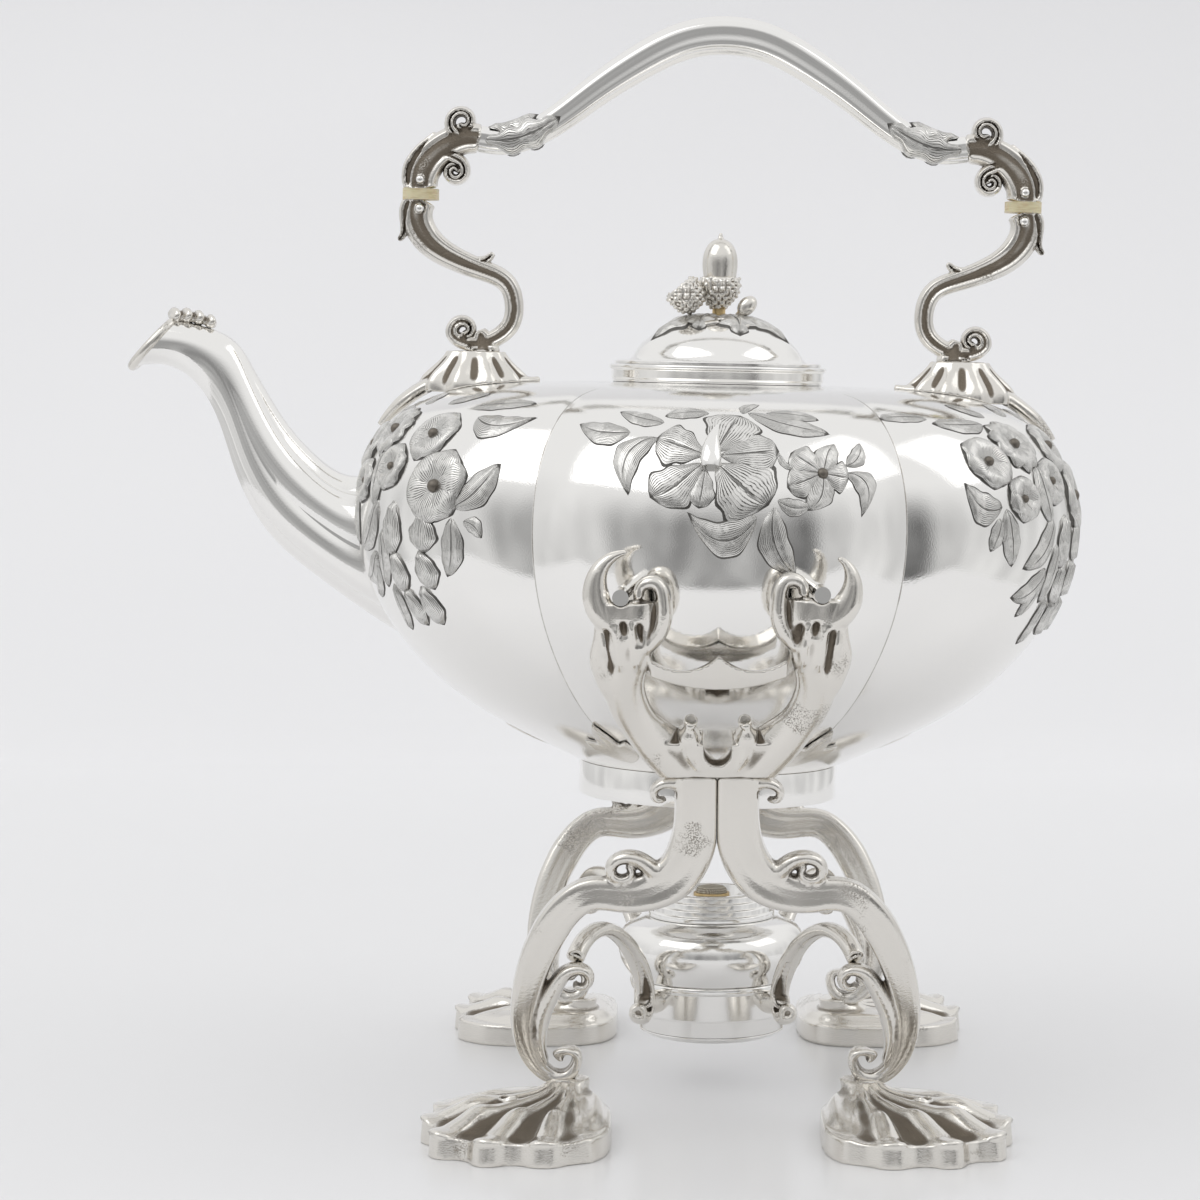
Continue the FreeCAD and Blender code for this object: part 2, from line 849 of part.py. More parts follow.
def empty_cup():
    """Second acorn cup, without its nut, leaning out to the spout side."""
    height = 10.0
    cup = revolve_curves(
        [
            [(0.0, 0.0), (2.4, 0.0)],
            [(2.4, 0.0), (5.2, 0.3 * height), (6.2, 0.7 * height), (5.6, height)],
            [(5.6, height), (4.6, height)],
            [(4.6, height), (4.4, 0.55 * height), (0.0, 0.35 * height)],
            [(0.0, 0.35 * height), (0.0, 0.0)],
        ]
    )
    cup.rotate(Vector(0, 0, 0), depthwise, -38)
    cup.translate(Vector(-7.4, -5.6, finial_base + 2.4))
    return cup.cut(finial_clear())


def acorn_bud():
    bud = Part.makeSphere(2.9)
    stretch = FreeCAD.Matrix()
    stretch.scale(1.0, 1.0, 1.35)
    bud = bud.transformGeometry(stretch)
    bud.rotate(Vector(0, 0, 0), depthwise, 42)
    bud.translate(Vector(9.4, -4.6, finial_base + 4.0))
    twig = Part.makeCylinder(1.2, 7.0, Vector(5.4, -3.0, finial_base - 0.6), Vector(0.62, -0.25, 0.74))
    return largest(fuse([bud, twig]).cut(finial_clear()))


def finial_clear():
    """Space of the acorn cup, the stalk and the leaves, which the pieces beside them leave free."""
    grown = acorn_cup().copy()
    spread = FreeCAD.Matrix()
    spread.scale(1.03, 1.03, 1.0)
    grown = grown.transformGeometry(spread)
    stalk = Part.makeCylinder(finial_stalk_radius + solder_gap, far)
    crown = dome_solid(leaf_thickness + 2 * solder_gap)
    return grown.fuse(stalk).fuse(crown)


def dome_solid(offset):
    """Solid under the lid's outer skin, raised by an offset."""
    rows = dome_rows(offset, 0.0)
    center = (0.0, lid_bottom)
    rim = (rows[0][0], lid_bottom)
    return revolve_curves([rows, [rows[-1], center], [center, rim], [rim, rows[0]]])


def oak_leaf(heading_deg, length, half_width):
    """Lobed oak leaf in plan, a flat face below the lid's crown."""
    heading = math.radians(heading_deg)
    along = Vector(math.cos(heading), math.sin(heading), 0)
    beside = Vector(-math.sin(heading), math.cos(heading), 0)
    start = along * (finial_stalk_radius + 1.2) + up * lid_bottom
    lobes = ((0.12, 0.3), (0.27, 0.85), (0.38, 0.5), (0.55, 1.0), (0.66, 0.6), (0.82, 0.8), (0.92, 0.45))
    left = [start + along * (length * s) + beside * (half_width * w) for s, w in lobes]
    right = [start + along * (length * s) - beside * (half_width * w) for s, w in reversed(lobes)]
    return Part.Face(closed_curve([start] + left + [start + along * length] + right))


def finial_leaves():
    blank = dome_solid(solder_gap + leaf_thickness).cut(dome_solid(solder_gap))
    disc = Part.makeCircle(acorn_cup_radius, up * lid_bottom, up)
    leaves = [Part.Face(Part.Wire(disc))]
    for heading, length, half_width in (
        (205, 17.0, 5.4),
        (255, 14.0, 4.8),
        (300, 15.0, 5.2),
        (345, 19.0, 5.6),
        (40, 16.0, 5.2),
        (95, 15.0, 5.0),
        (150, 16.0, 5.2),
    ):
        leaves.append(oak_leaf(heading, length, half_width))
    hole = Part.makeCylinder(finial_stalk_radius + solder_gap, far)
    plan = fuse(leaves).removeSplitter()
    return largest(plan.extrude(up * far).common(blank).cut(hole))


# Stand
def frame_points(rows):
    """Points on the front frame's middle plane, from (across, height) rows."""
    return [Vector(x, -frame_depth(z), z) for x, z in rows]


def hook_arm(side, pin_reach, pin_height, horn):
    """One arm of the cradle with its hook; side is -1 for the spout side. The horn's rows are relative to
    the pin's place."""
    arm = stem(
        frame_points(
            [
                (side * 6.0, cradle_bottom - 1.0),
                (side * 16.0, cradle_bottom + 9.0),
                (side * (pin_reach - 4.6), pin_height - 39),
                (side * (pin_reach - 0.6), pin_height - 26),
                (side * (pin_reach - 0.8), pin_height - 14),
                (side * (pin_reach - 1.2), pin_height - 1.5),
            ]
        ),
        [(8.5, 4.2), (7.8, 4.2), (6.0, 4.2), (6.4, 4.4), (9.4, 4.4), (8.6, 3.9)],
        stations=14,
    )
    outer = stem(
        frame_points([(side * (pin_reach + dx), pin_height + dz) for dx, dz in horn]),
        [(3.4, 3.6), (4.4, 3.9), (4.2, 3.8), (3.0, 3.4), (1.8, 2.6), (0.6, 1.2)],
        stations=14,
    )
    inner = stem(
        frame_points(
            [
                (side * (pin_reach - 7.0), pin_height - 16),
                (side * (pin_reach - 12.4), pin_height - 9),
                (side * (pin_reach - 13.0), pin_height - 1),
                (side * (pin_reach - 10.6), pin_height + 4.4),
                (side * (pin_reach - 6.6), pin_height + 3.6),
                (side * (pin_reach - 6.0), pin_height - 0.4),
            ]
        ),
        [(2.6, 3.6), (2.8, 3.8), (2.8, 3.8), (2.6, 3.8), (2.2, 3.4), (1.3, 2.4)],
        stations=16,
    )
    leaf_bump = stem(
        frame_points(
            [
                (side * (pin_reach + 0.5), pin_height - 37),
                (side * (pin_reach + 6.2), pin_height - 25),
                (side * (pin_reach + 7.8), pin_height - 17),
                (side * (pin_reach + 6.4), pin_height - 11),
            ]
        ),
        [(1.4, 2.4), (2.2, 3.0), (2.0, 2.8), (0.8, 1.4)],
        stations=10,
    )
    return [arm, outer, inner, leaf_bump] + leaf_fingers(side, pin_reach, pin_height)


def leaf_fingers(side, pin_reach, pin_height):
    """Three leaf flutes on the front of an arm, under its pin."""
    fingers = []
    for shift, reach in ((-5.2, 0.85), (0.0, 1.0), (5.2, 0.8)):
        rows = [(side * (pin_reach - 1.0 + shift * share), pin_height - 24 + 17 * reach * step)
                for share, step in ((0.4, 0.0), (0.75, 0.4), (1.0, 0.8), (1.0, 1.0))]
        points = [point - depthwise * 2.6 for point in frame_points(rows)]
        fingers.append(stem(points, [(1.6, 1.6), (2.5, 2.3), (2.4, 2.3), (1.2, 0.9)], stations=9))
    return fingers


def cross_bar():
    """Bar between the arms with a cusp in its upper edge, cut to the frame's lean."""
    high = pivot_height - 22.5
    low = high - 6.6
    span = pivot_reach - 9
    cusp = high + 4.4
    rear = 0.0
    corners = {
        "left_low": Vector(-span, rear, low + 4.0),
        "right_low": Vector(span, rear, low + 4.0),
        "left_high": Vector(-span, rear, high + 3.0),
        "right_high": Vector(span, rear, high + 3.0),
        "cusp": Vector(0, rear, cusp),
    }
    edges = [
        Part.Arc(corners["left_low"], Vector(0, rear, low - 0.2), corners["right_low"]).toShape(),
        Part.makeLine(corners["right_low"], corners["right_high"]),
        Part.Arc(corners["right_high"], Vector(span * 0.46, rear, high - 0.6), corners["cusp"]).toShape(),
        Part.Arc(corners["cusp"], Vector(-span * 0.46, rear, high - 0.6), corners["left_high"]).toShape(),
        Part.makeLine(corners["left_high"], corners["left_low"]),
    ]
    prism = Part.Face(Part.Wire(edges)).extrude(depthwise * -far)
    return prism.common(frame_slab(low - 4, cusp + 4, cradle_bar_half_depth))


def frame_slab(low, high, half_depth):
    """Slab that follows the frame's lean between two heights."""
    steps = 6
    heights = [low + (high - low) * step / (steps - 1) for step in range(steps)]
    front = [Vector(-far, -frame_depth(z) - half_depth, z) for z in heights]
    back = [Vector(-far, -frame_depth(z) + half_depth, z) for z in reversed(heights)]
    outline = front + back
    return Part.Face(Part.makePolygon(outline + outline[:1])).extrude(sidewise * 2 * far)


def cradle_root():
    """Solid heart of the cradle, between the arms, with its two lobes and the hollow between them."""
    heart = stem(
        frame_points([(0, cradle_bottom - 2), (0, cradle_bottom + 6), (0, cradle_bottom + 13)]),
        [(15.5, 4.4), (18.0, 4.4), (22.0, 4.0)],
        squareness=2.8,
        stations=7,
    )
    lobes = []
    for side in (-1, 1):
        lobe = stem(
            frame_points(
                [
                    (side * 6.4, cradle_bottom + 4),
                    (side * 8.8, cradle_bottom + 10),
                    (side * 8.8, cradle_bottom + 16),
                    (side * 8.2, cradle_bottom + 19.2),
                ]
            ),
            [(1.6, 4.6), (3.2, 5.0), (3.6, 4.6), (1.2, 2.6)],
            stations=10,
        )
        lobes.append(lobe)
    low = cradle_bottom + 8.2
    hollow = Part.makeCylinder(heart_gap / 2, far, Vector(0, -far, low), depthwise)
    slot = box_between((-heart_gap / 2, -far, low), (heart_gap / 2, 0, far))
    return fuse([heart] + lobes).cut(hollow).cut(slot)


def cradle():
    pieces = [cradle_root(), cross_bar()]
    pieces += hook_arm(-1, pivot_reach, pivot_height, spout_horn)
    pieces += hook_arm(1, rest_reach, rest_height, tail_horn)
    whole = fuse(pieces)
    room = cradle_pin_radius + hook_play
    whole = whole.cut(pin_way(-pivot_reach, pivot_height, room, 5.5, 5.5))
    whole = whole.cut(pin_way(rest_reach, rest_height, room, -1.8, 0.6))
    floor = box_between((-far, -far, 0), (far, 0, cradle_bottom))
    return largest(whole.cut(floor))


def pin_way(x, z, room, left_shift, right_shift):
    """Slot that a pin rests in, open upwards, its sides leaning by the two shifts over its height."""
    height = 16.0
    seat = Part.makeCylinder(room, far, Vector(x, -far, z), depthwise)
    corners = [
        Vector(x - room, -far, z),
        Vector(x + room, -far, z),
        Vector(x + room + right_shift, -far, z + height),
        Vector(x - room + left_shift, -far, z + height),
    ]
    throat = Part.Face(Part.makePolygon(corners + corners[:1])).extrude(depthwise * far)
    return seat.fuse(throat)


def leg():
    """Front spout-side leg: C-scroll with an inner scroll, a shoulder scroll and an ear."""
    main = stem(
        frame_points(
            [
                (-6.0, cradle_bottom + 6),
                (-6.2, 109.0),
                (-7.4, 95.0),
                (-12.6, 84.6),
                (-20.0, 79.6),
                (-30.0, 77.8),
                (-40.6, 77.8),
                (-47.6, 73.0),
                (-53.4, 64.6),
                (-58.4, 53.0),
                (-61.2, 41.5),
                (-61.5, 30.8),
                (-59.2, 22.9),
                (-55.4, 18.0),
                (-51.0, 15.9),
                (-47.0, 17.0),
                (-44.8, 20.4),
                (-45.2, 24.4),
                (-48.4, 24.8),
                (-49.4, 22.0),
            ]
        ),
        [
            (7.0, 4.8), (7.0, 4.8), (7.1, 4.8), (7.3, 4.8), (7.2, 4.7), (6.0, 4.6), (5.3, 4.6), (5.4, 4.6),
            (5.7, 4.5), (5.4, 4.5), (4.8, 4.4), (4.2, 4.3), (3.5, 4.2), (2.6, 4.0), (1.8, 3.6), (1.1, 3.0),
        ],
        squareness=3.2,
        stations=44,
    )
    inner = stem(
        frame_points(
            [
                (-55.0, 21.5),
                (-56.4, 30.5),
                (-55.0, 39.0),
                (-51.4, 46.8),
                (-46.4, 52.4),
                (-41.8, 52.2),
                (-40.4, 48.8),
                (-42.6, 46.4),
                (-45.0, 47.8),
            ]
        ),
        [(1.4, 3.8), (2.0, 4.0), (2.8, 4.2), (3.0, 4.2), (2.8, 4.1), (2.3, 3.8), (1.6, 3.4), (1.0, 2.8)],
        stations=26,
    )
    shoulder = stem(
        frame_points(
            [
                (-16.0, 83.5),
                (-21.0, 86.8),
                (-25.2, 89.8),
                (-29.6, 90.2),
                (-33.2, 87.6),
                (-32.8, 84.0),
                (-29.4, 83.0),
                (-26.8, 85.2),
                (-28.4, 87.2),
            ]
        ),
        [(3.4, 3.8), (3.0, 4.0), (2.4, 4.0), (2.0, 3.8), (1.6, 3.6), (1.1, 3.2)],
        stations=24,
    )
    ear = stem(
        frame_points(
            [(-9.5, 112.5), (-13.5, 115.0), (-17.6, 114.4), (-20.0, 111.6), (-18.8, 109.2), (-16.6, 109.8)]
        ),
        [(3.4, 4.0), (2.6, 4.0), (1.8, 3.6), (1.3, 3.2), (0.9, 2.6)],
        stations=14,
    )
    beyond = box_between((-solder_gap / 2, -far, 0), (far, 0, far))
    above = box_between((-far, -far, cradle_bottom - solder_gap), (far, 0, far))
    return largest(fuse([main, inner, shoulder, ear]).cut(beyond).cut(above))


def foot_outline(share, neck_share, height, scallop):
    """Closed wire of the shell foot: the plan outline drawn in towards the ankle by a share."""
    center = Vector(foot_inner_reach + foot_outer_reach, foot_inner_depth + foot_outer_depth, 0) * 0.5
    half_x = (foot_outer_reach - foot_inner_reach) / 2
    half_y = (foot_outer_depth - foot_inner_depth) / 2
    ankle = Vector(ankle_reach, ankle_depth, 0)
    count = 8 * foot_scallops
    points = []
    for step in range(count):
        angle = 2 * math.pi * step / count
        cos, sin = math.cos(angle), math.sin(angle)
        square = (abs(cos) ** foot_corner_power + abs(sin) ** foot_corner_power) ** (-1 / foot_corner_power)
        outward = max(0.0, math.cos(angle - math.radians(foot_heading_deg)))
        ripple = math.cos(foot_scallops * angle)
        bump = math.copysign(abs(ripple) ** 0.6, ripple)
        wave = scallop / half_x * outward ** 0.5 * bump
        reach = square * (1 - foot_corner_trim * outward ** 6 + wave)
        edge = center + Vector(half_x * reach * cos, half_y * reach * sin, 0)
        away = edge - ankle
        distance = away.Length * share * (1 - neck_share) + ankle_radius * neck_share
        place = ankle + away.normalize() * distance
        points.append(Vector(-place.x, -place.y, height))
    return closed_curve(points)


def foot(leg_solid):
    """Front spout-side foot: a stepped plinth under a fluted shell that rises to the ankle."""
    plinth = Part.makeLoft(
        [
            foot_outline(1.0, 0, 0, foot_scallop_depth),
            foot_outline(0.985, 0, plinth_height, foot_scallop_depth),
        ],
        True,
        False,
    )
    shell = Part.makeLoft(
        [
            foot_outline(0.93, 0.0, plinth_height - 1.0, 1.3 * foot_scallop_depth),
            foot_outline(0.80, 0.04, plinth_height + 1.8, 1.8 * foot_scallop_depth),
            foot_outline(0.52, 0.2, plinth_height + 3.8, 1.6 * foot_scallop_depth),
            foot_outline(0.32, 0.6, plinth_height + 5.8, foot_scallop_depth),
            foot_outline(0.24, 0.85, ankle_height, 0.4 * foot_scallop_depth),
        ],
        True,
        False,
    )
    place = Vector(-(foot_outer_reach - 26), -(ankle_depth + 16), plinth_height - 1)
    knob = Part.makeCylinder(foot_knob_radius, foot_knob_height, place)
    knob = knob.cut(Part.makeCylinder(foot_knob_bore, far, place + up * (foot_knob_height - 2.0)))
    hollow = Part.makeLoft(
        [
            foot_outline(foot_hollow_share, 0, -1.0, 0),
            foot_outline(foot_hollow_share - 0.05, 0, foot_hollow_height, 0),
        ],
        True,
        False,
    )
    return largest(fuse([plinth, shell, knob]).cut(hollow).cut(leg_solid))


# Lamp
def bracket(leg_solid):
    """Front spout-side bracket: a C-scroll from the leg's inner scroll to the ring."""
    start = Vector(-bracket_leg_reach, -frame_depth(54) + 2.0, 0)
    reach = ring_radius + solder_gap
    angle = math.radians(bracket_ring_deg)
    end = Vector(-reach * math.cos(angle), -reach * math.sin(angle), 0)
    span = (end - start).Length
    along = (end - start).normalize()
    across = up.cross(along)
    middle = (ring_bottom + ring_top) / 2
    rows = [
        (0.0, middle + 25),
        (0.10 * span, middle + 29.5),
        (0.27 * span, middle + 31.5),
        (0.48 * span, middle + 28.6),
        (0.68 * span, middle + 21.0),
        (0.82 * span, middle + 11.5),
        (0.875 * span, middle + 3.6),
        (0.85 * span, middle - 2.6),
        (0.79 * span, middle - 3.4),
        (0.76 * span, middle - 0.6),
    ]
    points = [start + along * w + up * z for w, z in rows]
    arm = stem(
        points,
        [(2.6, 2.6), (2.2, 2.6), (1.9, 2.6), (2.0, 2.8), (2.2, 3.0), (1.9, 2.8), (1.3, 2.4)],
        across=across,
        stations=22,
    )
    ball = Part.makeSphere(2.6, start + along * (0.775 * span) + up * (middle - 1.0))
    knob = stem(
        [
            start + along * (0.84 * span) + up * (middle + 2.4),
            start + along * (0.93 * span) + up * (middle + 0.6),
            start + along * (span + 2) + up * middle,
        ],
        [(2.6, 2.6), (3.2, 3.2), (3.6, 3.6)],
        across=across,
        stations=6,
    )
    ring_space = Part.makeCylinder(reach, far).fuse(
        Part.makeCylinder(reach + ring_bead, far, Vector(0, 0, ring_top - ring_bead_height - solder_gap))
    )
    return largest(fuse([arm, ball, knob]).cut(ring_space).cut(leg_solid))


def burner_ring():
    inner = ring_radius - ring_wall
    bead_radius = ring_radius + ring_bead
    return revolve(
        [
            (inner, ring_bottom),
            (ring_radius - 0.4, ring_bottom),
            (ring_radius, ring_bottom + 0.4),
            (ring_radius, ring_top - ring_bead_height),
            (bead_radius, ring_top - ring_bead_height + 0.6),
            (bead_radius, ring_top - 0.5),
            (bead_radius - 0.5, ring_top),
            (inner, ring_top),
        ]
    )


def lamp_reservoir():
    """Squat bowl that hangs in the ring by its shoulder."""
    base = lamp_base_radius
    floor = lamp_floor
    seat = ring_top + seat_gap
    outer = [
        (ring_radius + 0.7, seat),
        (lamp_radius - 1.0, lamp_widest - 6.0),
        (lamp_radius, lamp_widest),
        (lamp_radius - 2.4, lamp_widest + 5.4),
        (holder_radius + 0.9, lamp_shoulder),
    ]
    inner = [
        (holder_radius, lamp_shoulder - lamp_wall),
        (lamp_radius - 2.4 - lamp_wall, lamp_widest + 4.6),
        (lamp_radius - lamp_wall, lamp_widest),
        (lamp_radius - 2.2 - lamp_wall, lamp_widest - 6.0),
        (base - lamp_wall, seat + 1.0),
    ]
    return revolve_curves(
        [
            [(lamp_mouth_radius, lamp_shoulder), (lamp_mouth_radius, lamp_shoulder - lamp_wall)],
            [(lamp_mouth_radius, lamp_shoulder - lamp_wall), inner[0]],
            inner,
            [inner[-1], (base - lamp_wall, floor + lamp_wall)],
            [(base - lamp_wall, floor + lamp_wall), (0.0, floor + lamp_wall)],
            [(0.0, floor + lamp_wall), (0.0, floor)],
            [(0.0, floor), (base, floor)],
            [(base, floor), (base, seat)],
            [(base, seat), outer[0]],
            outer,
            [outer[-1], (lamp_mouth_radius, lamp_shoulder)],
        ]
    )


def lamp_base_dish():
    """Shallow dished plate under the reservoir."""
    base = lamp_base_radius
    top = lamp_floor - solder_gap
    flat = base - 12.0
    return revolve_curves(
        [
            [(0.0, top), (base, top)],
            [(base, top), (base, top - 0.6)],
            [
                (base, top - 0.6),
                (base - 2.4, lamp_bottom + 1.0),
                (base - 8.0, lamp_bottom),
                (flat, lamp_bottom),
            ],
            [(flat, lamp_bottom), (0.0, lamp_bottom)],
            [(0.0, lamp_bottom), (0.0, top)],
        ]
    )


def wick_holder():
    """Stepped collar that plugs the lamp's mouth and carries the wick tube."""
    bore = wick_radius + pin_clearance + wick_tube_wall + solder_gap
    plug = lamp_mouth_radius - 0.3
    low = lamp_shoulder + seat_gap
    rim = 1.4
    profile = [(bore, low - holder_plug_depth), (plug, low - holder_plug_depth), (plug, low)]
    step_in = (holder_radius - plug - rim) / holder_steps
    height = low
    radius = holder_radius
    for number in range(holder_steps):
        profile.append((radius, height))
        height += holder_step_height
        profile.append((radius, height - 0.5))
        profile.append((radius - 0.5, height))
        radius -= step_in
    profile.append((plug - 0.6, height))
    profile.append((plug - 0.6, low + 1.0))
    profile.append((bore, low + 1.0))
    return revolve(profile)


def wick_tube():
    inner = wick_radius + pin_clearance
    outer = inner + wick_tube_wall
    top = wick_top - 2.0
    low = lamp_shoulder + seat_gap - holder_plug_depth
    return revolve([(inner, low), (outer, low), (outer, top), (inner, top)])


def wick():
    low = lamp_floor + 5.0
    edge = 0.8
    return revolve(
        [
            (0.0, low),
            (wick_radius, low),
            (wick_radius, wick_top - edge),
            (wick_radius - edge, wick_top),
            (0.0, wick_top),
        ]
    )


def save(node, solids):
    """Write one node's solid, or its group of separate solids, set off from the origin."""
    solids = solids if isinstance(solids, list) else [solids]
    shape = solids[0].copy() if len(solids) == 1 else Part.makeCompound(solids)
    shape.translate(sidewise * stand_axis_reach)
    for solid in shape.Solids:
        if not solid.isValid():
            print("not valid:", node)
    print(node, len(shape.Solids), round(sum(solid.Volume for solid in shape.Solids), 1))
    shape.exportStep("parts/" + node + ".step")


def build_stand():
    front_cradle = cradle()
    save("cradle_front", front_cradle)
    save("cradle_rear", mirror_y(front_cradle))
    front_leg = leg()
    front_foot = foot(front_leg)
    front_bracket = bracket(front_leg)
    for name, shape in (("leg", front_leg), ("foot", front_foot), ("bracket", front_bracket)):
        save(name + "_front_spout", shape)
        save(name + "_front_tail", mirror_x(shape))
        save(name + "_rear_spout", mirror_y(shape))
        save(name + "_rear_tail", mirror_x(mirror_y(shape)))
    save("burner_ring", burner_ring())


def build_kettle():
    skin = belly(0)
    seat = belly(solder_gap)
    save("kettle_body", lean(kettle_body(skin)))
    save("foot_ring", lean(foot_ring()))
    save("neck_collar", lean(neck_collar()))
    save("spout", lean(spout(belly(spout_seam))))
    save("spout_shell", lean(spout_shell()))
    save("handle_grip", lean(grip()))
    pins = insulator_pins()
    pin_space = fuse(pins)
    for name, shape in (
        ("handle_elbow", elbow()),
        ("handle_scroll", lower_scroll()),
        ("insulator", insulator()),
        ("handle_socket", socket(seat)),
    ):
        save(name + "_spout", lean(largest(shape.cut(pin_space))))
        save(name + "_tail", lean(largest(mirror_x(shape).cut(pin_space))))
    save("insulator_pins", [lean(pin) for pin in pins])
    save("lower_sprays", [lean(spray) for spray in lower_sprays(seat)])
    leaned_seat = lean(seat)
    for node, reach, height in (
        ("pivot_pins", -pivot_reach, pivot_height),
        ("rest_pins", rest_reach, rest_height),
    ):
        front = cradle_pin(reach, height, leaned_seat)
        save(node, [front, mirror_y(front)])
    save("hinge_knuckles", [lean(piece) for piece in body_knuckles()])
    save("lid_hinge_pin", lean(lid_hinge_pin()))


def build_lid():
    for node, shape in (
        ("lid_dome", lid_dome()),
        ("lid_bezel", lid_bezel()),
        ("lid_knuckle", lid_knuckle()),
        ("finial_stalk", finial_stalk()),
        ("finial_nut", finial_nut()),
        ("finial_leaves", finial_leaves()),
        ("acorn_cup", acorn_cup()),
        ("acorn_nut", acorn_nut()),
        ("empty_cup", empty_cup()),
        ("acorn_bud", acorn_bud()),
    ):
        save(node, lean(largest(shape)))


def build_lamp():
    for node, shape in (
        ("lamp_reservoir", lamp_reservoir()),
        ("lamp_base_dish", lamp_base_dish()),
        ("wick_holder", wick_holder()),
        ("wick_tube", wick_tube()),
        ("wick", wick()),
    ):
        save(node, largest(shape))


def main():
    os.makedirs("parts", exist_ok=True)
    build_stand()
    build_kettle()
    build_lid()
    build_lamp()


if __name__ == "__main__":
    main()
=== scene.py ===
"""Looks of a silver tea kettle on its spirit-lamp stand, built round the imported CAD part."""

import logging
import math
from dataclasses import dataclass, field
from enum import Enum
from typing import Any, Callable, Sequence

import bmesh
import bpy
import numpy as np
from mathutils import Matrix, Vector


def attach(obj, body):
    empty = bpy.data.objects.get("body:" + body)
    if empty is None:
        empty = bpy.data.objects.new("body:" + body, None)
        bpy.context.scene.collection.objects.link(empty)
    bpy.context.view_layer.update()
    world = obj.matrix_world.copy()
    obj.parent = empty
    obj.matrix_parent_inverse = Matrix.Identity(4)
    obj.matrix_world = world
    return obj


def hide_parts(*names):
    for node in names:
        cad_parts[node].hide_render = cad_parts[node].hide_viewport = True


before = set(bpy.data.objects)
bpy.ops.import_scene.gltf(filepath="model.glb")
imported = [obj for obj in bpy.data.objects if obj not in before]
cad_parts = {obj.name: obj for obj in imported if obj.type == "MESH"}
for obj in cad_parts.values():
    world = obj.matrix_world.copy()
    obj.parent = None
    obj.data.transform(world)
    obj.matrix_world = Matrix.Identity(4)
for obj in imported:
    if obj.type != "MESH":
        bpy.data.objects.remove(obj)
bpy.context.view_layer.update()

MM = 0.001
STAND_AXIS = Vector((38.9, 0.0, 0.0))
log = logging.getLogger("kettle")

Point2 = tuple[float, float]
Colour = tuple[float, float, float]


class Body(str, Enum):
    """Moving bodies of the part."""

    STAND = "stand"
    KETTLE = "kettle"
    LID = "lid"
    LAMP = "lamp"
    WICK = "wick_carrier"


class Slot(str, Enum):
    """Material slots of the record."""

    POLISHED = "polished_silver"
    CAST = "cast_silver"
    BONE = "bone"
    BRASS = "brass"
    COTTON = "cotton"


class Wire:
    """Shader socket that can be used in Python arithmetic."""

    def __init__(self, tree: "ShaderTree", socket: bpy.types.NodeSocket) -> None:
        """Wrap a socket of a tree."""
        self.tree = tree
        self.socket = socket

    def __add__(self, other: Any) -> "Wire":
        """Sum."""
        return self.tree.math("ADD", self, other)

    def __radd__(self, other: Any) -> "Wire":
        """Sum with a number on the left."""
        return self.tree.math("ADD", other, self)

    def __sub__(self, other: Any) -> "Wire":
        """Difference."""
        return self.tree.math("SUBTRACT", self, other)

    def __rsub__(self, other: Any) -> "Wire":
        """Difference from a number on the left."""
        return self.tree.math("SUBTRACT", other, self)

    def __mul__(self, other: Any) -> "Wire":
        """Product."""
        return self.tree.math("MULTIPLY", self, other)

    def __rmul__(self, other: Any) -> "Wire":
        """Product with a number on the left."""
        return self.tree.math("MULTIPLY", other, self)

    def sine(self) -> "Wire":
        """Sine of the value."""
        return self.tree.math("SINE", self)

    def size(self) -> "Wire":
        """Value without its sign."""
        return self.tree.math("ABSOLUTE", self)

    def step(self, low: float, high: float) -> "Wire":
        """Smooth step from 0 at low to 1 at high.

        Args:
            low: value at which the step starts.
            high: value at which it ends; below low, the step falls.

        Returns:
            A value from 0 to 1.
        """
        node = self.tree.node(
            "ShaderNodeMapRange",
            {"interpolation_type": "SMOOTHSTEP"},
            {"Value": self, "From Min": low, "From Max": high},
        )
        return self.tree.out(node, "Result")


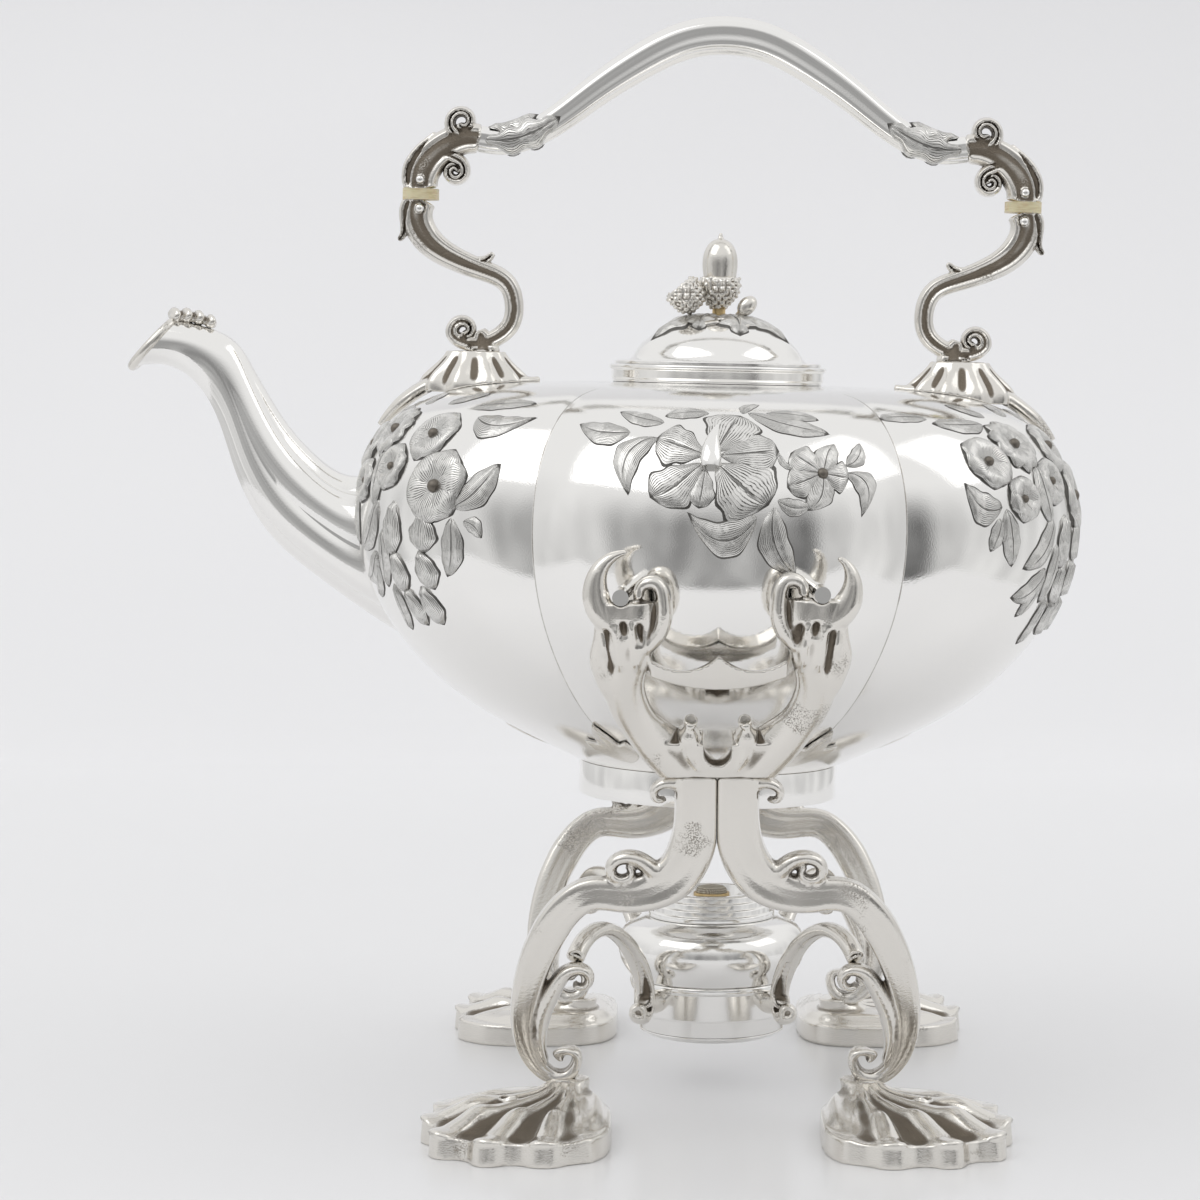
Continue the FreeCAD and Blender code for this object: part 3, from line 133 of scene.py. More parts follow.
class ShaderTree:
    """Node tree of a material or of the world, built from values and sockets."""

    def __init__(self, name: str, world: bool = False) -> None:
        """Start an empty tree.

        Args:
            name: the name of the material or the world.
            world: whether the tree is a world's.
        """
        self.owner = (bpy.data.worlds if world else bpy.data.materials).new(name)
        self.owner.use_nodes = True
        self.tree = self.owner.node_tree
        self.tree.nodes.clear()
        self.output = self.node("ShaderNodeOutputWorld" if world else "ShaderNodeOutputMaterial", {}, {})

    def node(self, kind: str, settings: dict[str, Any], inputs: dict[Any, Any]) -> bpy.types.Node:
        """Add a node.

        Args:
            kind: the node's type.
            settings: attributes that are set first.
            inputs: values or links by socket name or number.

        Returns:
            The node.
        """
        made = self.tree.nodes.new(kind)
        for name, value in settings.items():
            setattr(made, name, value)
        for name, value in inputs.items():
            socket = made.inputs[name]
            if isinstance(value, Wire):
                self.tree.links.new(value.socket, socket)
            else:
                socket.default_value = value
        return made

    def out(self, node: bpy.types.Node, name: Any) -> Wire:
        """Output of a node, as a value for arithmetic."""
        return Wire(self, node.outputs[name])

    def math(self, operation: str, *values: Any) -> Wire:
        """Math node on values or wires."""
        made = self.node("ShaderNodeMath", {"operation": operation}, dict(enumerate(values)))
        return self.out(made, "Value")

    def place(self) -> Wire:
        """Object coordinates of the surface."""
        return self.out(self.node("ShaderNodeTexCoord", {}, {}), "Object")

    def noise(self, scale: float, detail: float = 3.0, place: Wire | None = None) -> Wire:
        """Noise over the surface.

        Args:
            scale: waves in a metre.
            detail: octaves.
            place: coordinates, if not the object's own.

        Returns:
            A value about 0.5.
        """
        inputs = {"Vector": place or self.place(), "Scale": scale, "Detail": detail}
        return self.out(self.node("ShaderNodeTexNoise", {}, inputs), "Fac")

    def stretched(self, scale: Sequence[float]) -> Wire:
        """Object coordinates, stretched along the axes by a scale."""
        node = self.node("ShaderNodeMapping", {}, {"Vector": self.place(), "Scale": tuple(scale)})
        return self.out(node, "Vector")

    def attribute(self, name: str) -> Wire:
        """Value that the mesh carries under a name."""
        node = self.node("ShaderNodeAttribute", {"attribute_name": name}, {})
        return self.out(node, "Fac")

    def mix(self, share: Any, first: Any, second: Any) -> Wire:
        """Blend of two colours.

        Args:
            share: 0 gives the first colour, 1 the second.
            first: colour or wire.
            second: colour or wire.

        Returns:
            The blended colour.
        """
        colours = [value if isinstance(value, Wire) else (*value, 1.0) for value in (first, second)]
        inputs = {"Factor": share, 6: colours[0], 7: colours[1]}
        node = self.node("ShaderNodeMix", {"data_type": "RGBA"}, inputs)
        return Wire(self, node.outputs[2])

    def bump(self, height: Wire, strength: float, distance: float) -> Wire:
        """Normal of a bumpy surface.

        Args:
            height: the height of the bumps, about 0 to 1.
            strength: share of the effect.
            distance: height of a full bump in metres.

        Returns:
            The normal.
        """
        inputs = {"Height": height, "Strength": strength, "Distance": distance}
        return self.out(self.node("ShaderNodeBump", {}, inputs), "Normal")

    def surface(self, inputs: dict[str, Any], kind: str = "ShaderNodeBsdfPrincipled") -> Any:
        """Finish with a shader.

        Args:
            inputs: values or wires by socket name.
            kind: the shader's type.

        Returns:
            The finished material or world.
        """
        settled = {k: (*v, 1.0) if isinstance(v, tuple) and len(v) == 3 else v for k, v in inputs.items()}
        shader = self.node(kind, {}, settled)
        self.tree.links.new(shader.outputs[0], self.output.inputs["Surface"])
        return self.owner


@dataclass(frozen=True)
class Silver:
    """Silver, polished on its high places and darker in its recesses, with tarnish and painted shade."""

    name: str
    slot: Slot = Slot.CAST
    bright: Colour = (0.88, 0.86, 0.82)
    tarnish: Colour = (0.20, 0.165, 0.12)
    roughness: float = 0.13
    frost: float = 0.28
    grain: float = 0.00016
    tarnish_and_shade_share: float = 0.9
    ripple: float = 0.0
    mottle: float = 0.5
    hollow_mm: float = 0.0
    hollow_shade: float = 1.15
    grit: float = 0.0

    def material(self) -> bpy.types.Material:
        """Build the material: tarnish and painted shade in the recesses, frosted hollows, fine polishing
        lines.
        """
        tree = ShaderTree(self.name)
        recess = tree.attribute("recess")
        seam = tree.attribute("seam").step(0.990, 1.0)
        cloud = tree.noise(150.0, 5.0)
        # Darker where the mesh is sunk and along the body's grooves: tarnish with painted shade; the cloud
        # is tarnish that varies at random.
        tarnish_and_shade = recess + seam * 0.7 + (cloud - 0.5) * self.mottle
        # Painted shade from ambient occlusion under overhangs and in deep hollows, together with their
        # tarnish.
        if self.hollow_mm:
            tarnish_and_shade = tarnish_and_shade + self.shelter(tree) * self.hollow_shade
        pits = tree.noise(2100.0, 3.0)
        if self.grit:
            tarnish_and_shade = tarnish_and_shade + tree.noise(55.0, 2.0).step(0.5, 0.7) * pits.step(0.42, 0.62) * self.grit
        stain_and_shade = tarnish_and_shade.step(0.25, 1.0)
        haze = tree.noise(26.0, 2.0)
        lines = tree.noise(1.0, 2.0, tree.stretched((900.0, 900.0, 5200.0)))
        colour = tree.mix(stain_and_shade * self.tarnish_and_shade_share, self.bright, self.tarnish)
        rough = self.roughness + stain_and_shade * self.frost + (haze - 0.5) * 0.05 + (lines - 0.5) * 0.03
        raised = pits * (stain_and_shade.step(0.05, 0.6) + 0.12) * self.grain + tree.noise(24.0, 1.0) * self.ripple
        relief = tree.bump(raised, 1.0, 1.0)
        return tree.surface(
            {"Base Color": colour, "Metallic": 1.0, "Roughness": rough, "Normal": relief}
        )

    def shelter(self, tree: ShaderTree) -> Wire:
        """Share of a point's surroundings that the piece itself covers, within the size of a hollow: ambient
        occlusion, painted into the colour as shade.
        """
        node = tree.node(
            "ShaderNodeAmbientOcclusion",
            {"samples": 8, "only_local": True},
            {"Distance": self.hollow_mm * MM},
        )
        return 1.0 - tree.out(node, "AO")


@dataclass(frozen=True)
class ChasedSilver:
    """Silver that is chased with hatching lines, dark along its outlines, where the chased line carries
    painted shadow.
    """

    name: str
    slot: Slot = Slot.POLISHED
    bright: Colour = (0.84, 0.83, 0.805)
    tarnish: Colour = (0.05, 0.046, 0.04)
    lines: float = 118.0
    roughness: float = 0.24

    def material(self) -> bpy.types.Material:
        """Build the material from the petal's own map: across in u, along in v."""
        tree = ShaderTree(self.name)
        chart = tree.node("ShaderNodeUVMap", {"uv_map": "petal"}, {})
        split = tree.node("ShaderNodeSeparateXYZ", {}, {"Vector": tree.out(chart, "UV")})
        across, along = tree.out(split, "X"), tree.out(split, "Y")
        wander = tree.noise(420.0, 2.0)
        middle = (across - 0.5).size() * 2.0
        # Dark outline round each petal and across its tip: the chased line, with painted shadow at the
        # raised edge.
        edge = middle.step(0.84, 0.93) * along.step(0.02, 0.3) + along.step(0.91, 0.97)
        stroke = ((across + wander * 0.05) * self.lines).sine()
        drift = wander - 0.5
        reach = (along + drift * 0.9).step(0.75, 0.15) + (along + drift * 0.7).step(0.5, 1.0) * 0.8
        hatch = stroke.step(0.1, 0.9) * (0.25 + reach.step(0.05, 0.6))
        rib = middle.step(0.055, 0.02) * along.step(0.9, 0.7) * tree.attribute("rib")
        dark = (edge * 0.9 + hatch * 0.68 + rib * 0.7).step(0.0, 1.0)
        colour = tree.mix(dark * 0.92, self.bright, self.tarnish)
        relief = tree.bump(1.0 - dark, 0.8, 0.00025)
        rough = self.roughness + dark * 0.2
        return tree.surface({"Base Color": colour, "Metallic": 1.0, "Roughness": rough, "Normal": relief})


@dataclass(frozen=True)
class Bone:
    """Old polished bone with fine grain."""

    name: str = "bone"
    slot: Slot = Slot.BONE
    pale: Colour = (0.84, 0.74, 0.50)
    dark: Colour = (0.62, 0.47, 0.24)

    def material(self) -> bpy.types.Material:
        """Build the material."""
        tree = ShaderTree(self.name)
        grain = tree.noise(1.0, 4.0, tree.stretched((260.0, 260.0, 2400.0)))
        patch = tree.noise(220.0, 2.0)
        colour = tree.mix((grain * 0.6 + patch * 0.4).step(0.4, 0.75), self.pale, self.dark)
        relief = tree.bump(grain, 0.3, 0.0001)
        return tree.surface(
            {
                "Base Color": colour, "Roughness": 0.32 + grain * 0.15, "Normal": relief,
                "Subsurface Weight": 0.15,
            }
        )


@dataclass(frozen=True)
class Gilt:
    """Gilt metal, dulled by heat."""

    name: str = "gilt"
    slot: Slot = Slot.BRASS
    bright: Colour = (0.78, 0.60, 0.32)
    dull: Colour = (0.30, 0.21, 0.10)

    def material(self) -> bpy.types.Material:
        """Build the material."""
        tree = ShaderTree(self.name)
        cloud = tree.noise(160.0, 4.0)
        colour = tree.mix(cloud.step(0.4, 0.75), self.bright, self.dull)
        return tree.surface({"Base Color": colour, "Metallic": 1.0, "Roughness": 0.24 + cloud * 0.25})


@dataclass(frozen=True)
class Cotton:
    """Plaited cotton."""

    name: str = "cotton"
    slot: Slot = Slot.COTTON
    pale: Colour = (0.82, 0.77, 0.66)
    shade: Colour = (0.42, 0.36, 0.28)
    plaits: float = 4200.0

    def material(self) -> bpy.types.Material:
        """Build the material."""
        tree = ShaderTree(self.name)
        split = tree.node("ShaderNodeSeparateXYZ", {}, {"Vector": tree.place()})
        turn, rise = tree.out(split, "X") + tree.out(split, "Y"), tree.out(split, "Z")
        plait = ((turn + rise) * self.plaits).sine() * ((turn - rise) * self.plaits).sine()
        weave = plait.step(-0.6, 0.6)
        colour = tree.mix(weave, self.shade, self.pale)
        relief = tree.bump(weave, 0.8, 0.0004)
        return tree.surface({"Base Color": colour, "Roughness": 0.95, "Normal": relief})


POLISHED = Silver(
    "polished_silver", Slot.POLISHED, bright=(0.93, 0.92, 0.90), roughness=0.06, frost=0.18,
    tarnish_and_shade_share=0.8, ripple=0.0004,
)
# Cast silver: tarnish and painted shade in its recesses, and ambient occlusion painted as shade under
# overhangs.
CAST = Silver(
    "cast_silver", bright=(0.80, 0.775, 0.73), tarnish=(0.15, 0.118, 0.082), roughness=0.1, frost=0.34,
    grain=0.00035, mottle=0.6, hollow_mm=9.0, grit=0.6,
)
# Spout silver: ambient occlusion paints shade inside the bore.
BORED = Silver(
    "bored_silver", Slot.POLISHED, bright=(0.93, 0.92, 0.90), tarnish=(0.10, 0.085, 0.065), roughness=0.06,
    ripple=0.0003, mottle=0.2, hollow_mm=11.0, hollow_shade=1.5,
)
# Dark silver for the flower hearts: painted shade in their hollows.
SHADED = Silver("shaded_silver", Slot.POLISHED, bright=(0.20, 0.18, 0.155), roughness=0.42)
CHASED = ChasedSilver("chased_silver")
FINISHES = (POLISHED, CAST, BORED, SHADED, CHASED, Bone(), Gilt(), Cotton())
MATERIALS: dict[str, bpy.types.Material] = {}


class Curve:
    """Natural cubic spline through rows of numbers, by the length of its chords."""

    def __init__(self, rows: Sequence[Sequence[float]], keys: int = 2) -> None:
        """Fit the spline.

        Args:
            rows: the rows to pass through.
            keys: how many leading columns measure the length.
        """
        self.rows = np.array(rows, dtype=float)
        steps = np.linalg.norm(np.diff(self.rows[:, :keys], axis=0), axis=1)
        self.knots = np.concatenate([[0.0], np.cumsum(steps)])
        self.bends = self._bends(steps)

    def _bends(self, steps: np.ndarray) -> np.ndarray:
        """Second derivatives at the rows, from the lengths between them."""
        count = len(self.rows)
        system = np.eye(count)
        right = np.zeros_like(self.rows)
        for i in range(1, count - 1):
            system[i, i - 1 : i + 2] = (steps[i - 1], 2 * (steps[i - 1] + steps[i]), steps[i])
            rise = (self.rows[i + 1] - self.rows[i]) / steps[i]
            right[i] = 6 * (rise - (self.rows[i] - self.rows[i - 1]) / steps[i - 1])
        return np.linalg.solve(system, right)

    @property
    def length(self) -> float:
        """Length of the spline's chords."""
        return float(self.knots[-1])

    def at(self, place: float) -> np.ndarray:
        """Row at a length along the spline."""
        i = int(np.clip(np.searchsorted(self.knots, place) - 1, 0, len(self.rows) - 2))
        step = self.knots[i + 1] - self.knots[i]
        b = (place - self.knots[i]) / step
        a = 1 - b
        ease = (a**3 - a) * self.bends[i] + (b**3 - b) * self.bends[i + 1]
        return a * self.rows[i] + b * self.rows[i + 1] + ease * step**2 / 6

    def share(self, part: float) -> np.ndarray:
        """Row at a share of the whole length."""
        return self.at(part * self.length)

    def where(self, column: int, value: float) -> float:
        """Length at which a rising column reaches a value."""
        low, high = 0.0, self.length
        for _ in range(40):
            middle = (low + high) / 2
            low, high = (middle, high) if self.at(middle)[column] < value else (low, middle)
        return (low + high) / 2


LEAN = (
    Matrix.Translation((0, 0, 175.0))
    @ Matrix.Rotation(math.radians(1.3), 4, "Y")
    @ Matrix.Translation((0, 0, -175.0))
)


class Workpiece:
    """Piece under construction: a bmesh in millimetres."""

    def __init__(self, name: str) -> None:
        """Start an empty piece.

        Args:
            name: the name that its object gets.
        """
        self.name = name
        self.bm = bmesh.new()

    def spin(self, outline: Sequence[Point2], steps: int = 144) -> None:
        """Turn an outline of (radius, height) round the axis.

        Args:
            outline: a closed outline, or an open one that starts and ends on the axis.
            steps: faces round the axis.
        """
        verts = [self.bm.verts.new((radius, 0.0, height)) for radius, height in outline]
        closed = outline[0][0] > 0
        pairs = list(zip(verts, verts[1:])) + ([(verts[-1], verts[0])] if closed else [])
        edges = [self.bm.edges.new(pair) for pair in pairs]
        bmesh.ops.spin(
            self.bm, geom=verts + edges, axis=(0, 0, 1), cent=(0, 0, 0), steps=steps,
            angle=math.tau, use_merge=True,
        )
        bmesh.ops.remove_doubles(self.bm, verts=self.bm.verts, dist=0.001)
        bmesh.ops.recalc_face_normals(self.bm, faces=self.bm.faces)

    def round_edges(self, radius: float, angle_deg: float = 30.0, segments: int = 2) -> None:
        """Round every edge that is sharper than an angle.

        Args:
            radius: size of the rounding.
            angle_deg: the least angle.
            segments: faces across the rounding.
        """
        sharp = [e for e in self.bm.edges if e.is_manifold and e.calc_face_angle() > math.radians(angle_deg)]
        bmesh.ops.bevel(
            self.bm, geom=sharp, offset=radius, offset_type="OFFSET", segments=segments, profile=0.5,
            affect="EDGES", material=-1, clamp_overlap=True,
        )

    def sweep(self, rings: Sequence[np.ndarray], closed: bool = False) -> None:
        """Skin over rings of points, each with the same count, by extruding the first.

        Args:
            rings: the rings, in order.
            closed: joins the last ring to the first instead of capping both ends.
        """
        count = len(rings[0])
        ring = bmesh.ops.create_circle(self.bm, cap_ends=False, segments=count, radius=1.0)["verts"]
        first = ring
        self._settle(ring, rings[0])
        for points in rings[1:]:
            edges = [self.bm.edges.get((a, b)) for a, b in zip(ring, ring[1:] + ring[:1])]
            made = bmesh.ops.extrude_edge_only(self.bm, edges=edges)["geom"]
            ring = self._follow(ring, [item for item in made if isinstance(item, bmesh.types.BMVert)])
            self._settle(ring, points)
        ends = [[self.bm.edges.get((a, b)) for a, b in zip(r, r[1:] + r[:1])] for r in (first, ring)]
        if closed:
            bmesh.ops.bridge_loops(self.bm, edges=ends[0] + ends[1])
        else:
            for end in ends:
                bmesh.ops.contextual_create(self.bm, geom=end)
        bmesh.ops.recalc_face_normals(self.bm, faces=self.bm.faces)

    @staticmethod
    def _settle(ring: Sequence[bmesh.types.BMVert], points: np.ndarray) -> None:
        """Move a ring's vertices to points."""
        for vert, point in zip(ring, points):
            vert.co = Vector(point)

    @staticmethod
    def _follow(
        old: Sequence[bmesh.types.BMVert], new: Sequence[bmesh.types.BMVert]
    ) -> list[bmesh.types.BMVert]:
        """Vertices of an extruded ring, in the order of the ring that they came from."""
        fresh = set(new)
        ordered = []
        for vert in old:
            ordered.append(next(e.other_vert(vert) for e in vert.link_edges if e.other_vert(vert) in fresh))
        return ordered

    def turn(self, matrix: Matrix) -> None:
        """Move the whole piece by a matrix."""
        bmesh.ops.transform(self.bm, matrix=matrix, verts=self.bm.verts)

    def deliver(
        self, body: Body, finish: Any, replaces: Sequence[str] = (), sharp_deg: float = 35.0,
        slot: Slot | None = None,
    ) -> bpy.types.Object:
        """Make the object, in metres, with its finish and its body.

        Args:
            body: the body that it moves with.
            finish: its finish.
            replaces: the CAD nodes that it stands for.
            sharp_deg: edges above this angle stay sharp in shading.
            slot: not used.

        Returns:
            The object.
        """
        bmesh.ops.translate(self.bm, vec=STAND_AXIS, verts=self.bm.verts)
        bmesh.ops.scale(self.bm, vec=(MM, MM, MM), verts=self.bm.verts)
        for face in self.bm.faces:
            face.smooth = True
        mesh = bpy.data.meshes.new(self.name)
        self.bm.to_mesh(mesh)
        self.bm.free()
        mesh.set_sharp_from_angle(angle=math.radians(sharp_deg))
        return register(self.name, mesh, body, finish, replaces)


def register(
    name: str, mesh: bpy.types.Mesh, body: Body, finish: Any, replaces: Sequence[str] = (),
) -> bpy.types.Object:
    """Link a mesh as a piece of the part.

    Args:
        name: the piece's name.
        mesh: its mesh, in place, in metres.
        body: the body that it moves with.
        finish: its finish.
        replaces: the CAD nodes that it stands for.

    Returns:
        The object.
    """
    piece = bpy.data.objects.new(name, mesh)
    bpy.context.scene.collection.objects.link(piece)
    mesh.materials.clear()
    mesh.materials.append(MATERIALS[finish.name])
    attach(piece, body.value)
    if replaces:
        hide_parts(*replaces)
    log.info("%s: %d faces on %s", name, len(mesh.polygons), body.value)
    return piece


class Casting:
    """Cast piece: its CAD solid with an even skin, whose recesses are measured for the tarnish and the
    painted shade.
    """

    def __init__(self, node: str, grain_mm: float = 0.45, smoothing: int = 3) -> None:
        """Take a CAD node.

        Args:
            node: the node's name.
            grain_mm: size of the skin's faces.
            smoothing: rounds of smoothing.
        """
        self.node = node
        self.grain = grain_mm * MM
        self.smoothing = smoothing

    def skin(self) -> bpy.types.Mesh:
        """Even mesh over the node's solid."""
        bm = bmesh.new()
        bm.from_mesh(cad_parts[self.node].data)
        bmesh.ops.remove_doubles(bm, verts=bm.verts, dist=2e-6)
        mesh = bpy.data.meshes.new(self.node + "_skin")
        bm.to_mesh(mesh)
        bm.free()
        blank = bpy.data.objects.new(self.node + "_blank", mesh)
        bpy.context.scene.collection.objects.link(blank)
        remesh = blank.modifiers.new("skin", "REMESH")
        remesh.mode = "VOXEL"
        remesh.voxel_size = self.grain
        remesh.use_smooth_shade = True
        seen = blank.evaluated_get(bpy.context.evaluated_depsgraph_get())
        skinned = bpy.data.meshes.new_from_object(seen)
        bpy.data.objects.remove(blank)
        bm = bmesh.new()
        bm.from_mesh(skinned)
        for _ in range(self.smoothing):
            bmesh.ops.smooth_vert(
                bm, verts=bm.verts, factor=0.5, use_axis_x=True, use_axis_y=True, use_axis_z=True
            )
        bm.to_mesh(skinned)
        bm.free()
        return skinned

    def deliver(
        self, body: Body, finish: Any, sculpt: Callable[[np.ndarray, np.ndarray], np.ndarray] | None = None,
        reach: int = 60, depth_mm: float = 0.55, sunk_tarnish_and_shade: float = 0.0,
    ) -> bpy.types.Object:
        """Make the piece in the node's place.

        Args:
            body: the body that it moves with.
            finish: its finish.
            sculpt: gives how far each point moves along its normal, in mm, from points and normals.
            reach: rounds of spreading, for the size of the recesses that are measured.
            depth_mm: depth at which a recess is fully dark.
            sunk_tarnish_and_shade: darkness of each mm that the sculpt sinks a point, as tarnish and painted
                shade.

        Returns:
            The object.
        """
        mesh = self.skin()
        sunk = np.zeros(len(mesh.vertices))
        if sculpt is not None:
            points, normals = read_vectors(mesh)
            move = sculpt(points / MM - np.array(STAND_AXIS), normals)
            mesh.vertices.foreach_set("co", (points + normals * move[:, None] * MM).ravel())
            mesh.update()
            # Places that the sculpt sinks get darker: tarnish with painted shade.
            sunk = sunk_tarnish_and_shade * np.clip(-move, 0.0, None)
        mark_recesses(mesh, reach, depth_mm, sunk)
        for polygon in mesh.polygons:
            polygon.use_smooth = True
        return register(self.node + "_cast", mesh, body, finish, (self.node,))


def read_vectors(mesh: bpy.types.Mesh) -> tuple[np.ndarray, np.ndarray]:
    """Points and normals of a mesh.

    Args:
        mesh: the mesh.

    Returns:
        Two arrays of vectors.
    """
    count = len(mesh.vertices)
    points = np.empty(count * 3)
    normals = np.empty(count * 3)
    mesh.vertices.foreach_get("co", points)
    mesh.vertex_normals.foreach_get("vector", normals)
    return points.reshape(-1, 3), normals.reshape(-1, 3)


def mark_recesses(mesh: bpy.types.Mesh, reach: int, depth_mm: float, sunk: np.ndarray) -> None:
    """Write how deep each point lies below its surroundings as the attribute "recess".

    Args:
        mesh: the mesh.
        reach: rounds of spreading, for the size of the surroundings.
        depth_mm: depth that counts as 1.
        sunk: share that is added at each point.
    """
    points, normals = read_vectors(mesh)
    pairs = np.empty(len(mesh.edges) * 2, dtype=np.int64)
    mesh.edges.foreach_get("vertices", pairs)
    one, two = pairs[0::2], pairs[1::2]
    count = len(points)
    share = 1.0 / np.maximum(np.bincount(pairs, minlength=count), 1)
    spread = points.copy()
    for _ in range(reach):
        total = np.empty_like(spread)
        for axis in range(3):
            column = spread[:, axis]
            total[:, axis] = np.bincount(one, column[two], count) + np.bincount(two, column[one], count)
        spread = total * share[:, None]
    depth = ((spread - points) * normals).sum(axis=1) / (depth_mm * MM) + sunk
    layer = mesh.attributes.new("recess", "FLOAT", "POINT")
    layer.data.foreach_set("value", np.clip(depth, 0.0, 1.0).astype(np.float32))


def smooth_rows(rows: Sequence[Sequence[float]], count: int) -> list[tuple[float, ...]]:
    """Rows along a spline through a few rows.

    Args:
        rows: the rows to pass through.
        count: how many rows to give.

    Returns:
        The rows, evenly spaced.
    """
    curve = Curve(rows)
    return [tuple(curve.share(i / (count - 1))) for i in range(count)]


@dataclass
class Belly:
    """Six-lobed body of the kettle, in millimetres, upright."""

    rows: tuple[tuple[float, float, float], ...] = (
        (43.5, 111.0, 0.0), (66.5, 121.7, 2.6), (89.0, 134.5, 5.4), (108.0, 151.8, 7.6),
        (120.0, 170.0, 8.8), (125.2, 191.0, 9.2), (122.8, 209.5, 9.0), (114.0, 224.0, 8.2),
        (98.0, 233.6, 5.6), (76.0, 237.8, 2.2), (55.0, 239.0, 0.5), (35.5, 239.4, 0.0),
    )
    lobes: int = 6
    wall: float = 1.2
    neck: float = 32.0
    around: int = 36
    upward: int = 120
    curve: Curve = field(init=False)
    equator: float = field(init=False)

    def __post_init__(self) -> None:
        """Fit the profile."""
        self.curve = Curve(self.rows)
        self.equator = self.curve.where(1, 191.0)

    def radius(self, place: float, angle: float, inset: float = 0.0) -> float:
        """Radius of the lobed section.

        Args:
            place: length along the crest's profile.
            angle: angle from a lobe's crest, in radians.
            inset: how far inside the skin.

        Returns:
            The radius at that angle.
        """
        crest, _, lobe = self.curve.at(place)
        half = math.pi / self.lobes
        angle = (angle + half) % (2 * half) - half
        crest, groove = crest - inset, crest - max(lobe, 0.0) - inset
        if crest - groove < 1e-6:
            return crest
        center = (crest**2 - groove**2) / (2 * (crest - groove * math.cos(half)))
        bow = crest - center
        return center * math.cos(angle) + math.sqrt(bow**2 - (center * math.sin(angle)) ** 2)

    def spot(self, place: float, azimuth: float) -> np.ndarray:
        """Point on the skin at a length along the profile and an azimuth."""
        reach = self.radius(place, azimuth + math.pi / 2)
        height = self.curve.at(place)[1]
        return np.array((reach * math.cos(azimuth), reach * math.sin(azimuth), height))

    def raised(self, lobe: int, across: float, up: float, height: float) -> np.ndarray:
        """Point above the skin of a lobe.

        Args:
            lobe: the lobe's number, 0 at the front.
            across: distance along the skin from the crest, to the right as seen from outside.
            up: distance along the profile above the widest place.
            height: distance out from the skin.

        Returns:
            The point.
        """
        place = min(self.equator + up, self.curve.length - 1.0)
        reach = max(self.curve.at(place)[0], 30.0)
        azimuth = math.tau * lobe / self.lobes - math.pi / 2 + across / reach
        point = self.spot(place, azimuth)
        side = self.spot(place, azimuth + 0.004) - point
        rise = self.spot(place + 0.4, azimuth) - point
        normal = np.cross(side, rise)
        return point + normal / np.linalg.norm(normal) * height

    def rings(self, inset: float) -> list[np.ndarray]:
        """Rings of the skin, from the foot to the neck, at an inset."""
        turn = np.arange(self.lobes * self.around) * math.tau / (self.lobes * self.around)
        made = []
        for step in range(self.upward):
            place = self.curve.length * step / (self.upward - 1)
            before = self.curve.at(max(place - 0.5, 0.0))
            after = self.curve.at(min(place + 0.5, self.curve.length))
            slope = (after - before)[:2] / np.linalg.norm((after - before)[:2])
            height = self.curve.at(place)[1] + inset * slope[0]
            reach = [self.radius(place, a, inset * slope[1]) for a in turn]
            way = turn - math.pi / 2
            points = np.stack((reach * np.cos(way), reach * np.sin(way)), axis=1)
            made.append(np.column_stack((points, np.full(len(turn), height))))
        return made

    def build(self) -> None:
        """Make the body with its inner wall and its open neck."""
        piece = Workpiece("body")
        outer, inner = self.rings(0.0), self.rings(self.wall)
        lip = [ring.copy() for ring in (outer[-1], inner[-1])]
        for ring in lip:
            ring[:, :2] *= self.neck / np.linalg.norm(ring[:, :2], axis=1)[:, None]
        piece.sweep(outer + lip + inner[::-1])
        self.mark_seams(piece)
        piece.turn(LEAN)
        piece.deliver(Body.KETTLE, POLISHED, ("kettle_body",), sharp_deg=14.0)

    def mark_seams(self, piece: Workpiece) -> None:
        """Write how near each point is to a groove: 1 on the groove, less where the lobes are shallow."""
        layer = piece.bm.verts.layers.float.new("seam")
        half = math.pi / self.lobes
        lobe_depth = [(row[1], row[2]) for row in self.rows]
        heights, depths = zip(*lobe_depth)
        for vert in piece.bm.verts:
            angle = (math.atan2(vert.co.y, vert.co.x) + math.pi / 2 + half) % (2 * half) - half
            fade = min(1.0, float(np.interp(vert.co.z, heights, depths)) / 3.0)
            vert[layer] = abs(angle) / half - 0.03 * (1 - fade)


class Form(Enum):
    """Outlines of petals and leaves."""

    LEAF = "leaf"
    LILY = "lily"
    ROUND = "round"
    OAK = "oak"

    def width(self, along: float) -> float:
        """Half width, as a share of the widest, at a share of the length."""
        if self is Form.LEAF:
            return 2.75 * along**0.75 * (1 - along) ** 0.8
        if self is Form.LILY:
            return 1.72 * along**0.9 * (1 - along**4) ** 0.9
        if self is Form.ROUND:
            return (0.2 + 0.8 * math.sin(math.pi * min(along, 0.97) ** 1.2)) * (1 - along**9) ** 0.5
        lobed = 0.78 + 0.22 * math.cos(along * 21.0)
        return 1.15 * lobed * (0.12 + math.sin(math.pi * along**0.9)) * (1 - along**14) ** 0.5


